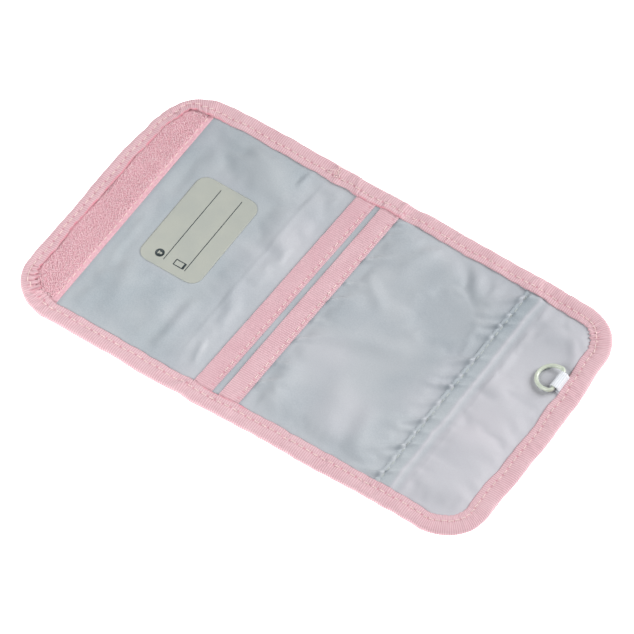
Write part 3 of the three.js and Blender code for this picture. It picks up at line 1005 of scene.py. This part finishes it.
def make_join_threads():
    """The bar tack over the ribbon's lapped end, and its loose ends of thread."""
    paths = []
    for n in range(4):
        t = np.linspace(0, 1, 9)
        d = np.linspace(2.4, 4.6, 9) + 0.25 * n
        s = JOIN_S - 0.3 + 0.55 * n - 0.3 * t
        z = binding_top(s, d, binding_width(s)) + 0.12 + 0.1 * np.sin(np.linspace(0, math.pi, 9))
        paths.append((rim_points(s, d, z), 0.07))
    for reach, drift, height in ((-1.9, 1.5, 1.3), (-0.9, -1.3, 1.0), (4.6, 3.0, 0.35), (5.4, -2.6, 0.3)):
        t = np.linspace(0, 1, 14)
        s = JOIN_S + 0.6 + drift * t**1.3
        d = 2.6 + (reach - 2.6) * t
        z = ROLL_TOP + 0.1 + height * np.sin(math.pi * t * 0.8) * (1 - 0.3 * t)
        paths.append((rim_points(s, d, z), 0.14))
    points, faces, count = [], [], 0
    for path, radius in paths:
        tube, sides = thread_tube(path, radius)
        points.append(tube)
        faces.extend((sides + count).tolist())
        count += len(tube)
    piece = new_piece("binding_join_threads", np.concatenate(points), faces, THREAD)
    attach(piece, "left_flap")


def thread_tube(path, radius, sides=6):
    """A thin tube along a path, open at its ends."""
    along = np.gradient(path, axis=0)
    along /= np.linalg.norm(along, axis=1)[:, None]
    side = np.cross(along, [0.0, 0.0, 1.0])
    side /= np.linalg.norm(side, axis=1)[:, None]
    up = np.cross(side, along)
    angle = np.linspace(0, 2 * math.pi, sides, endpoint=False)
    ring = side[:, None] * np.cos(angle)[None, :, None] + up[:, None] * np.sin(angle)[None, :, None]
    points = path[:, None] + radius * ring
    return points.reshape(-1, 3), grid_faces(len(path), sides, wrap_cols=True, flip=True)


# ---------------------------------------------------------------- flat panels

def at(place):
    """A panel's straight end: the same x for every y."""
    return lambda y: 0 * y + place


SIDES = (("left", "left_flap", LEFT_FOLD), ("right", "right_flap", RIGHT_FOLD))
FULL_LEFT = at(-END_X)
FULL_RIGHT = at(END_X)
MIDDLE_JOIN = at(JOIN_X)
# Where the pieces that stay on the middle panel stop, just before the right fold's bend.
BEFORE_RIGHT_FOLD = at(RIGHT_FOLD - FOLD_HALF - 0.5)


def make_shell():
    """The outer cloth, as two pieces that meet in the middle panel."""
    for side, flap, fold in SIDES:
        ends = (FULL_LEFT, MIDDLE_JOIN) if side == "left" else (MIDDLE_JOIN, FULL_RIGHT)
        x, y = panel_grid(*ends, 1.6, 1.0, fold)
        inside = well_inside(x, y, 7, 14) * smooth(np.abs(x - JOIN_X), 1, 9)
        folds = 0.16 + 0.14 * noise(x, y, 15, 51) + 0.07 * noise(x, y, 5, 52)
        low = 0.02 + 0.45 * (1 - well_inside(x, y, 8.0, 10.5)) + inside * folds
        over_hooks = smooth(x, HOOK_EDGE - 2, HOOK_EDGE - 0.3)
        low = low + 1.0 * over_hooks * (1 - 0.45 * (1 - well_inside(x, y, 8.0, 10.5)))
        sheet = thin_sheet(f"shell_cloth_{side}", x, y, low + 0.25, 0.25, SHELL)
        fold_blend(sheet)
    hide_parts("outer_shell_left", "outer_shell_middle")
    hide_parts("outer_shell_right")


def make_foam():
    """Thin padding between the outer cloth and the lining."""
    for side, flap, fold in SIDES:
        ends = (FULL_LEFT, MIDDLE_JOIN) if side == "left" else (MIDDLE_JOIN, at(HOOK_EDGE - 2))
        x, y = panel_grid(*ends, 5.0, 4.0, fold)
        top = 1.35 + 0.03 * noise(x, y, 8, 61)
        sheet = thin_sheet(f"padding_{side}", x, y, top, 0.5, FOAM)
        fold_blend(sheet)
    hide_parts("foam_left", "foam_middle")
    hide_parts("foam_right")


def make_left_lining():
    """The left and middle lining, held under the binding, the loop strip, the label and the rear mouth."""
    x, y = panel_grid(FULL_LEFT, BEFORE_RIGHT_FOLD, 2.0, 0.8, LEFT_FOLD)
    fixed = 1 - well_inside(x, y, 9, 15) * smooth(x, LOOP_EDGE + 1, LOOP_EDGE + 7)
    mouth = smooth(x - rear_mouth_x(y), -7, -1)
    fixed = np.clip(fixed + mouth + under_label(x, y), 0, 1)
    top = pressed(draped(x, y, lining_top(x, y), fixed, 0.8, 0.022, 12), x, y)
    warm = smooth(x, -48, -31) * 0.3 + 0.25 * smooth(noise(x, y, 20, 71), 0, 0.8)
    shade = 0.3 * bump(x - LOOP_EDGE, 1.2) + 0.14 * smooth(y, 0, 45) * (1 - smooth(x, -62, -40))
    shade = shade + falling_away(x, y, top)
    sheet = thin_sheet("satin_left", x, y, top, SATIN_THICK, SATIN, tint=warm, shade=shade)
    fold_blend(sheet)
    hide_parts("lining_left", "lining_middle")


def make_right_lining():
    """The right lining, from its turned edge sewn over the pockets' ends."""
    x, y = panel_grid(hem_x, FULL_RIGHT, 2.0, 0.6, RIGHT_FOLD)
    edge = x - hem_x(y)
    ring = near_ring(x, y, RING_OPEN_X, 14)
    fixed = 1 - well_inside(x, y, 8, 14) * smooth(edge, 8.5, 13)
    top = draped(x, y, right_lining_top(x, y), np.clip(fixed + ring, 0, 1), 0.6, 0.01, 42)
    top = pressed(top - 0.2 * bump(edge, 0.35), x, y)
    across = edge + hem_sway(y)
    past = smooth(across, 7.6, 11.5)
    tint = past * (0.8 + 0.2 * noise(x, y, 18, 72)) + 0.75 * bump(across - 7.7, 1.0)
    shade = 0.05 * (1 - past) + 0.5 * hole_mark(y, edge - HEM_ROW) + 0.1 * bump(across - 9.8, 1.4)
    shade = shade + 0.1 * smooth(y, 15, 45) + falling_away(x, y, top)
    sheet = thin_sheet("satin_right", x, y, top, SATIN_THICK, SATIN, tint=np.clip(tint, 0, 1), shade=shade)
    fold_blend(sheet)
    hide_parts("lining_right", "lining_right_hem")


def make_pockets():
    """The two pocket panels, from inside their mouth ribbons to under the right lining's turned edge."""
    rows = (
        ("rear", rear_mouth_x, rear_pocket_top, "rear_card_pocket", 1.4),
        ("front", front_mouth_x, front_pocket_top, "front_card_pocket", 0.6),
    )
    for name, mouth, top, node, step in rows:
        x, y = panel_grid(lambda y, m=mouth: m(y) + 0.45, BEFORE_RIGHT_FOLD, 2.0, step)
        shade = 0.35 * bump(x - mouth(y) - MOUTH_WIDTH, 0.9) + 0.3 * bump(x - hem_x(y), 1.0)
        shade = shade + 0.14 * smooth(x, 15, 50) * smooth(y, -35, 5)
        tint = 0.15 + 0.3 * smooth(noise(x, y, 22, 73), 0, 0.8)
        height = top(x, y)
        if name == "front":
            loose = well_inside(x, y, 9, 15) * smooth(x - mouth(y), 10, 15)
            loose = loose * smooth(hem_x(y) - x, 1, 6)
            fixed = np.clip(1 - loose + 2 * near_ring(x, y, RING_CLOSED_X, 9), 0, 1)
            height = draped(x, y, height, fixed, step, 0.026, 32)
        shade = shade + falling_away(x, y, height)
        height = pressed(height, x, y)
        sheet = thin_sheet(f"{name}_pocket_satin", x, y, height, SATIN_THICK, SATIN, tint=tint, shade=shade)
        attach(sheet, "middle_panel")
        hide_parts(node)
        flat = ((HEM_X + 8 - mouth(np.zeros(1))[0]) * MM, 2 * SIDE_Y * MM)


# ---------------------------------------------------------------- pocket mouths

MOUTH_ROWS = 14
MOUTH_ROLL = 0.35
MOUTH_STITCH_IN = 1.6


def make_mouth(name, mouth, slant, low, high, node, thread_node, seed, paleness):
    """Ribbon folded over a pocket's mouth, ribbed across its width, with its row of stitches."""
    half = SIDE_Y - 3.0
    ribs = round(2 * half / RIB_PITCH)
    y = np.linspace(-half, half, ribs * RIB_STEPS + 1)
    across = np.linspace(MOUTH_WIDTH, MOUTH_ROLL, MOUTH_ROWS)
    row = MOUTH_WIDTH - MOUTH_STITCH_IN
    turn = np.linspace(0, math.pi, 7)[1:-1]
    d = np.concatenate([across, MOUTH_ROLL - MOUTH_ROLL * np.sin(turn), [MOUTH_ROLL, 4.0, MOUTH_WIDTH]])
    level = np.concatenate([np.ones(MOUTH_ROWS), 0.5 + 0.5 * np.cos(turn), np.zeros(3)])
    dd, yy = np.broadcast_to(d, (len(y), len(d))), np.repeat(y[:, None], len(d), axis=1)
    rib = 0.5 + 0.5 * np.cos(2 * math.pi * np.arange(len(y)) / RIB_STEPS)[:, None] + 0 * dd
    puff = 0.12 * smooth(dd, 0, 2) * (1 - smooth(dd, 6, 8)) - 0.1 * bump(dd - row, 0.6)
    wave = 0.1 * noise(yy, dd, 9, seed) + 0.05 * noise(yy, dd, 3, seed + 1)
    upper = level > 0.99
    # The needle holes are dented, and the material darkens them: painted shade in the needle holes.
    holes = hole_mark(yy, dd - row) * upper
    z = low + (high - low) * level + (puff + wave * smooth(np.abs(yy), 0, 1)) * upper
    z = z + RIB_HEIGHT * (2 * rib - 1) * upper - 0.16 * holes
    z = pressed(z, mouth(yy) + dd, yy)
    sway = 0.18 * noise(yy, 0 * yy, 14, seed + 2) + 0.06 * noise(yy, 0 * yy, 3, seed + 3)
    x = mouth(yy) + dd + sway - RIB_HEIGHT * (2 * rib - 1) * (1 - upper) * (dd < 0.34)
    points, faces = np.stack([x, yy, z], axis=-1), ribbon_faces(len(y), len(d))
    # The ribbon material paints light and shade on the ribs from this value; a lower paleness makes this
    # ribbon darker overall.
    shown_rib = paleness * (rib * upper + 0.5 * (1 - upper))
    tape = new_piece(f"{name}_mouth_ribbon", points, faces, RIBBON, rib=shown_rib, hole=0.85 * holes)
    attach(tape, "middle_panel")
    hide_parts(node)
    s = stitch_places(math.ceil((8 - half) / STITCH_PITCH), math.floor((half - 8) / STITCH_PITCH))
    stitch_x = mouth(s) + row + 0.18 * noise(s, 0 * s, 14, seed + 2)
    stitch_z = high + 0.03 + 0.1 * noise(s, 0 * s + row, 9, seed)
    stitches = straight_stitches(f"{name}_mouth_stitches", stitch_x, s, stitch_z, slant, THREAD)
    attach(stitches, "middle_panel")
    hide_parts(thread_node)


def make_hem_stitches():
    """The row that sews the right lining's turned edge over the pockets."""
    s = stitch_places(-16, 15)
    x = hem_x(s) + HEM_ROW
    z = right_lining_top(x, s) + 0.08
    stitches = straight_stitches("hem_stitches", x, s, z, HEM_SLANT, GREY_THREAD, 0.17)
    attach(stitches, "middle_panel")
    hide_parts("hem_thread")


# ---------------------------------------------------------------- touch fastener

LOOP_ROW = 1.9


def loop_wave(x, y):
    """The loop strip's slow unevenness."""
    return 0.18 * noise(x, y, 13, 81)


def make_loop_strip():
    """The soft strip: a woven base with a smooth selvage, and a pile of small thread loops."""
    x, y = panel_grid(FULL_LEFT, at(LOOP_EDGE), 2.2, 0.5)
    edge = LOOP_EDGE - x
    pile = smooth(edge, 1.5, 2.2)
    top = 2.05 + loop_wave(x, y) + 0.25 * pile + 0.12 * pile * noise(x, y, 0.9, 82)
    top = top - 0.12 * bump(edge - LOOP_ROW, 0.35)
    top = pressed(top, x + 1.5, y)
    base = thin_sheet("loop_strip_base", x, y, top, 0.3, SELVAGE)
    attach(base, "left_flap")
    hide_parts("loop_strip")
    rng = np.random.default_rng(83)
    pitch = 0.78
    gx = np.arange(6 - END_X, LOOP_EDGE - 2.3, pitch)
    gy = np.arange(4 - SIDE_Y, SIDE_Y - 4, pitch)
    gx, gy = np.meshgrid(gx, gy)
    gx = gx + pitch / 2 * (np.round(gy / pitch) % 2) + rng.uniform(-0.2, 0.2, gx.shape)
    gy = gy + rng.uniform(-0.2, 0.2, gy.shape)
    keep = edge_distance(gx, gy) > 7.0
    gx, gy = gx[keep], gy[keep]
    angle = np.where(rng.random(len(gx)) < 0.5, 0.9, 2.2) + rng.uniform(-0.5, 0.5, len(gx))
    foot = 2.05 + loop_wave(gx, gy) + 0.22
    height = rng.uniform(0.3, 0.6, len(gx))
    loops = little_loops("loop_strip_pile", gx, gy, foot, angle, height, 0.15, 0.5, PILE)
    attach(loops, "left_flap")
    s = stitch_places(-15, 15)
    sx = LOOP_EDGE - LOOP_ROW + 0 * s
    stitches = straight_stitches("loop_strip_stitches", sx, s, 2.12 + loop_wave(sx, s), 0, THREAD)
    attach(stitches, "left_flap")
    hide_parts("loop_strip_thread")


def little_loops(name, x, y, z, angle, height, radius, half, material, down=False):
    """Many small arches of thread standing on a surface."""
    sides, rings = 4, 6
    t = np.linspace(0, math.pi, rings)
    out, rise = -half * np.cos(t), np.sin(t)
    a = np.linspace(0, 2 * math.pi, sides, endpoint=False)
    ring_out, ring_side = np.cos(a) * radius, np.sin(a) * radius
    u = (out[:, None] - np.cos(t)[:, None] * ring_out).ravel()
    v = np.tile(ring_side, rings)
    w_scale = np.repeat(rise, sides)
    w_plain = (np.sin(t)[:, None] * ring_out).ravel()
    w = height[:, None] * w_scale + w_plain
    if down:
        w = -w
    cos, sin = np.cos(angle)[:, None], np.sin(angle)[:, None]
    px, py = x[:, None] + u * cos - v * sin, y[:, None] + u * sin + v * cos
    points = np.stack([px, py, z[:, None] + w], axis=-1)
    count = rings * sides
    body = grid_faces(rings, sides, wrap_cols=True, flip=down)
    faces = (body[None] + np.arange(len(x))[:, None, None] * count).reshape(-1, 4)
    return new_piece(name, points, faces, material)


def make_hook_strip():
    """The hook half on the outside of the right flap's end: a ribbed base with rows of tiny hooks."""
    x, y = panel_grid(at(HOOK_EDGE), at(END_X - 6.0), 7.0, 0.6)
    low = 0.72 + 0.04 * np.cos(2 * math.pi * y / 1.4)
    base = thin_sheet("hook_strip_base", x, y, low + 0.26, 0.26, HOOK)
    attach(base, "right_flap")
    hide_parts("hook_strip")
    hx = np.arange(HOOK_EDGE + 1.6, END_X - 9.6, 1.15)
    hy = np.arange(10 - SIDE_Y, SIDE_Y - 9.5, 1.4)
    hx, hy = np.meshgrid(hx, hy)
    keep = edge_distance(hx, hy) > 9.6
    hx, hy = hx[keep], hy[keep]
    rng = np.random.default_rng(91)
    angle = np.where(np.arange(len(hx)) % 2 == 0, 0.0, math.pi) + rng.uniform(-0.15, 0.15, len(hx))
    foot, height = 0 * hx + 0.76, 0 * hx + 0.56
    hooks = little_loops("hook_strip_hooks", hx, hy, foot, angle, height, 0.1, 0.38, HOOK, down=True)
    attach(hooks, "right_flap")


# ---------------------------------------------------------------- label

LINE_WIDTH = 0.34


def make_label():
    """The label, with two ruled lines and a generic sign before each."""
    centre = LABEL_MIDDLE
    half = (LABEL_HIGH - LABEL_LOW) / 2
    corner = 5.0
    rows, cols = 95, 59
    v, u = np.meshgrid(np.linspace(-1, 1, rows), np.linspace(-1, 1, cols), indexing="ij")
    y = v * half[1]
    over = np.maximum(np.abs(y) - (half[1] - corner), 0)
    reach = half[0] - corner + np.sqrt(np.maximum(corner**2 - over**2, 0))
    x, y = centre[0] + u * reach, centre[1] + y
    sheet = thin_sheet("name_label", x, y, label_top(x, y), 0.2, LABEL)
    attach(sheet, "left_flap")
    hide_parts("id_label")
    prints = []
    for line_x in (centre[0] - 3.7, centre[0] + 6.5):
        prints.append(strip_print((line_x, centre[1] - 19.6), (line_x, centre[1] + 20.7), LINE_WIDTH))
    head = (centre[0] - 6.7, centre[1] - 17.7)
    prints.append(disc_print(head, 1.95, 28))
    phone = (centre[0] + 3.1, centre[1] - 17.9)
    prints.extend(frame_print(phone, (2.3, 1.35), 0.42))
    join_prints("label_print", prints, PRINT, 0.03)
    spot = disc_print((head[0] + 0.55, head[1]), 0.55, 16)
    half_spot = disc_print((head[0] - 0.75, head[1]), 0.8, 16, half=True)
    join_prints("label_pictogram", [spot, half_spot], LABEL, 0.06)


def label_top(x, y):
    bow = 0.12 * np.cos((x - LABEL_MIDDLE[0]) / 6) * np.cos((y - LABEL_MIDDLE[1]) / 9)
    return lining_top(x, y) + 0.24 + bow * 0.3


def strip_print(start, end, width):
    """A printed line, as a strip of quads."""
    steps = 40
    t = np.linspace(0, 1, steps)[:, None]
    line = np.array(start) * (1 - t) + np.array(end) * t
    along = np.array(end, float) - start
    side = np.array([-along[1], along[0]]) / np.hypot(*along) * width / 2
    return np.stack([line - side, line + side], axis=1)


def frame_print(centre, half, width):
    """A printed rectangle outline with a thicker end, like a plain handset."""
    (cx, cy), (hx, hy) = centre, half
    corners = [(cx - hx, cy - hy), (cx + hx, cy - hy), (cx + hx, cy + hy), (cx - hx, cy + hy)]
    sides = [strip_print(a, b, width) for a, b in zip(corners, corners[1:] + corners[:1], strict=True)]
    return sides + [strip_print((cx + hx - 0.45, cy - hy), (cx + hx - 0.45, cy + hy), 0.6)]


def disc_print(centre, radius, steps, half=False):
    """A printed disc, or the half of one that faces +X, as pairs of points from its middle line out."""
    angle = np.linspace(-math.pi / 2, math.pi / 2, steps)
    edge = np.stack([np.cos(angle), np.sin(angle)], axis=-1) * radius
    other = edge * [0.0 if half else -1.0, 1.0]
    return np.stack([np.array(centre) + other, np.array(centre) + edge], axis=1)


def join_prints(name, strips, material, lift):
    """One thin closed piece of print for each strip, on the label."""
    points, faces, count = [], [], 0
    for strip in strips:
        rows = len(strip)
        flat = strip.reshape(-1, 2)
        z = label_top(flat[:, 0], flat[:, 1])
        upper = np.column_stack([flat, z + lift])
        lower = np.column_stack([flat, z - 0.02])
        points.extend([upper, lower])
        n = rows * 2
        quads = grid_faces(rows, 2)
        faces.extend((quads + count).tolist())
        faces.extend((quads[:, ::-1] + count + n).tolist())
        rim_line = list(range(0, n, 2)) + list(range(n - 1, 0, -2))
        for a, b in zip(rim_line, rim_line[1:] + rim_line[:1], strict=True):
            faces.append([count + a, count + b, count + b + n, count + a + n])
        count += 2 * n
    piece = new_piece(name, np.concatenate(points), faces, material)
    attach(piece, "left_flap")
    return piece


# ---------------------------------------------------------------- ring and elastic

# The ring's half width along its bar, its depth from bar to bow, its wire's radius, its lean and its turn.
RING_HALF = 5.95
RING_DEPTH = 9.1
RING_WIRE = 0.84
RING_LEAN = math.radians(8.0)
RING_TURN = 0.06


def make_ring():
    """Wire ring. Its bar lies in the elastic and its bow leans down to the lining."""
    w, r_corner = RING_HALF, 1.8
    shoulder = RING_DEPTH - w
    bow = np.linspace(math.pi / 2, 1.5 * math.pi, 60)
    knee = np.linspace(0, math.pi / 2, 10)
    bar = np.linspace(-(w - r_corner), w - r_corner, 16)
    path = [(0.0, v) for v in bar]
    path += [(-r_corner + r_corner * math.cos(a), w - r_corner + r_corner * math.sin(a)) for a in knee[1:]]
    path += [(-shoulder + w * math.cos(a), w * math.sin(a)) for a in bow]
    path += [(-r_corner + r_corner * math.sin(a), r_corner - w - r_corner * math.cos(a)) for a in knee[:-1]]
    path = np.array(path)
    tangent = np.roll(path, -1, axis=0) - np.roll(path, 1, axis=0)
    tangent /= np.hypot(*tangent.T)[:, None]
    normal = np.stack([tangent[:, 1], -tangent[:, 0]], axis=-1)
    a = np.linspace(0, 2 * math.pi, 20, endpoint=False)
    side, up = RING_WIRE * np.cos(a), RING_WIRE * np.sin(a)
    flat = path[:, None] + normal[:, None] * side[None, :, None]
    local = np.dstack([flat, np.broadcast_to(up, flat.shape[:2])])
    z = local[..., 2] * math.cos(RING_LEAN) + local[..., 0] * math.sin(RING_LEAN)
    x = local[..., 0] * math.cos(RING_LEAN) - local[..., 2] * math.sin(RING_LEAN)
    y = local[..., 1]
    x, y = x - RING_TURN * y, y + RING_TURN * x
    points = np.stack([x + RING_BAR[0], y + RING_BAR[1], z + RING_BAR[2]], axis=-1)
    faces = grid_faces(len(path), len(a), wrap_rows=True, wrap_cols=True, flip=True)
    ring = new_piece("dee_ring", points, faces, RING, square=True)
    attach(ring, "ring")
    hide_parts("d_ring")


ELASTIC_HALF = 4.0


def make_elastic():
    """White elastic round the ring's bar, ribbed across its width. Its ends go under the binding."""
    bar_x, bar_y, bar_z = RING_BAR
    thick, bore = 0.4, 1.0
    mid = bore + thick / 2 + 0.02
    tail_x = END_X - 5.0
    around = np.linspace(math.radians(70), math.radians(290), 22)
    wrap = [(bar_x + mid * math.cos(a), bar_z + mid * math.sin(a)) for a in around]
    upper = [(tail_x, 2.0), (END_X - 8.5, 2.05), (END_X - 10.8, 2.6), (bar_x + 1.9, bar_z + 0.8)]
    lower = [(bar_x + 1.6, 2.7), (END_X - 11.4, 2.15), (END_X - 8.5, 1.6), (tail_x, 1.55)]
    line = smoothed(np.array(upper + wrap + lower), 170)
    tangent = np.gradient(line, axis=0)
    tangent /= np.hypot(*tangent.T)[:, None]
    normal = np.stack([tangent[:, 1], -tangent[:, 0]], axis=-1)
    v = np.linspace(-ELASTIC_HALF, ELASTIC_HALF, 25)
    wale = np.cos(2 * math.pi * np.arange(len(line)) / 6)[:, None]
    edge = 0.1 * smooth(np.abs(v), ELASTIC_HALF - 0.4, ELASTIC_HALF)[None, :]
    outer, inner = thick / 2 + 0.05 * wale - edge, 0.02 * wale - thick / 2 + edge
    ring_v = np.concatenate([v, v[::-1]])
    ring_n = np.concatenate([outer, inner[:, ::-1]], axis=1)
    rib = np.broadcast_to(0.5 + 0.5 * wale, ring_n.shape)
    skew = np.linspace(0.3, -0.5, len(line))[:, None]
    x = line[:, :1] + normal[:, :1] * ring_n
    z = line[:, 1:] + normal[:, 1:] * ring_n
    y = bar_y + ring_v[None, :] + skew
    points = np.stack([x, y, z], axis=-1)
    cols = len(ring_v)
    faces = ribbon_faces(len(line), cols)
    band = new_piece("elastic_band", points, faces, ELASTIC, square=True, rib=rib)
    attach(band, "right_flap")
    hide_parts("elastic_loop")


def smoothed(points, count):
    """A smooth line through a few points, with its own points evenly spaced."""
    step = np.concatenate([[0], np.cumsum(np.hypot(*np.diff(points, axis=0).T))])
    dense = np.linspace(0, step[-1], 6 * count)
    line = np.stack([np.interp(dense, step, points[:, k]) for k in range(2)], axis=-1)
    kernel = np.hanning(31) / np.hanning(31).sum()
    padded = np.concatenate([np.repeat(line[:1], 15, axis=0), line, np.repeat(line[-1:], 15, axis=0)])
    soft = np.stack([np.convolve(padded[:, k], kernel, "valid") for k in range(2)], axis=-1)
    step = np.concatenate([[0], np.cumsum(np.hypot(*np.diff(soft, axis=0).T))])
    even = np.linspace(0, step[-1], count)
    return np.stack([np.interp(even, step, soft[:, k]) for k in range(2)], axis=-1)


def make_binding():
    """The binding and its stitches, as two lengths that meet in the middle of each side."""
    left = binding_piece("edge_binding_left", 0, LEFT_LENGTH)
    right = binding_piece("edge_binding_right", LEFT_LENGTH, RIM_LENGTH)
    fold_blend(left)
    fold_blend(right)
    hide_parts("binding_left", "binding_top_middle", "binding_bottom_middle")
    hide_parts("binding_right")
    left_thread = binding_stitches("binding_stitches_left", 0, LEFT_LENGTH)
    right_thread = binding_stitches("binding_stitches_right", LEFT_LENGTH, RIM_LENGTH)
    fold_blend(left_thread)
    fold_blend(right_thread)
    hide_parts("binding_thread_left", "binding_thread_top", "binding_thread_bottom")
    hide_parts("binding_thread_right")


# ---------------------------------------------------------------- stage, light and camera

VIEW_AZIMUTH = math.radians(34.0)
VIEW_ELEVATION = math.radians(56.56)
VIEW_DISTANCE = 2.0
LENS = 282.0
# Metres.
KEY_PLACE = (0.85, 1.0, 0.7)
FILL_PLACE = (-0.3, -0.55, 0.45)


def set_down(made, place, back):
    """Puts a camera or a lamp at a place, with its back towards a direction."""
    made.location = place
    made.rotation_mode = "QUATERNION"
    made.rotation_quaternion = back.to_track_quat("Z", "Y")


def make_camera():
    """The camera looks from the front right, well above the wallet."""
    a, e = VIEW_AZIMUTH, VIEW_ELEVATION
    back = Vector((math.sin(a) * math.cos(e), -math.cos(a) * math.cos(e), math.sin(e)))
    right = Vector((math.cos(a), math.sin(a), 0))
    up = back.cross(right)
    aim = (right * -1.86 + up * -1.13) * MM
    data = bpy.data.cameras.new("camera")
    data.sensor_width = 36.0
    data.lens = LENS
    data.clip_start, data.clip_end = 0.05, 20
    camera = new_object("camera", data)
    set_down(camera, aim + back * VIEW_DISTANCE, back)
    bpy.context.scene.camera = camera


def make_floor():
    size = 3.0
    corners = [(-size, -size, 0), (size, -size, 0), (size, size, 0), (-size, size, 0)]
    mesh = bpy.data.meshes.new("floor")
    mesh.from_pydata(corners, [], [(0, 1, 2, 3)])
    g = Graph("pale_floor", (0.9, 0.9, 0.9), 0.9)
    g.shader.inputs["Emission Color"].default_value = (1, 1, 1, 1)
    g.shader.inputs["Emission Strength"].default_value = 0.9
    mesh.materials.append(g.material)
    floor = new_object("floor", mesh)
    floor.location.z = -0.00005


def make_lamp(name, place, size, power):
    data = bpy.data.lights.new(name, "AREA")
    data.shape = "DISK"
    data.size = size
    data.energy = power
    set_down(new_object(name, data), place, Vector(place))


def make_light():
    world = bpy.data.worlds.new("studio")
    world.use_nodes = True
    background = world.node_tree.nodes["Background"]
    background.inputs["Color"].default_value = (1, 1, 1, 1)
    background.inputs["Strength"].default_value = 0.15
    bpy.context.scene.world = world
    make_lamp("key", KEY_PLACE, 0.9, 22)
    make_lamp("fill", FILL_PLACE, 0.6, 5.2)
    bpy.context.scene.view_settings.view_transform = "Standard"


make_camera()
make_shell()
make_foam()
make_left_lining()
make_pockets()
make_right_lining()
make_binding()
REAR_NODES = ("rear_pocket_tape", "rear_tape_thread")
FRONT_NODES = ("front_pocket_tape", "front_tape_thread")
make_mouth("rear", rear_mouth_x, REAR_SLANT, 1.85, 2.42, *REAR_NODES, 101, 0.72)
make_mouth("front", front_mouth_x, FRONT_SLANT, 2.3, 2.92, *FRONT_NODES, 111, 0.9)
make_hem_stitches()
make_join_threads()
make_loop_strip()
make_hook_strip()
make_label()
make_ring()
make_elastic()
make_floor()
make_light()
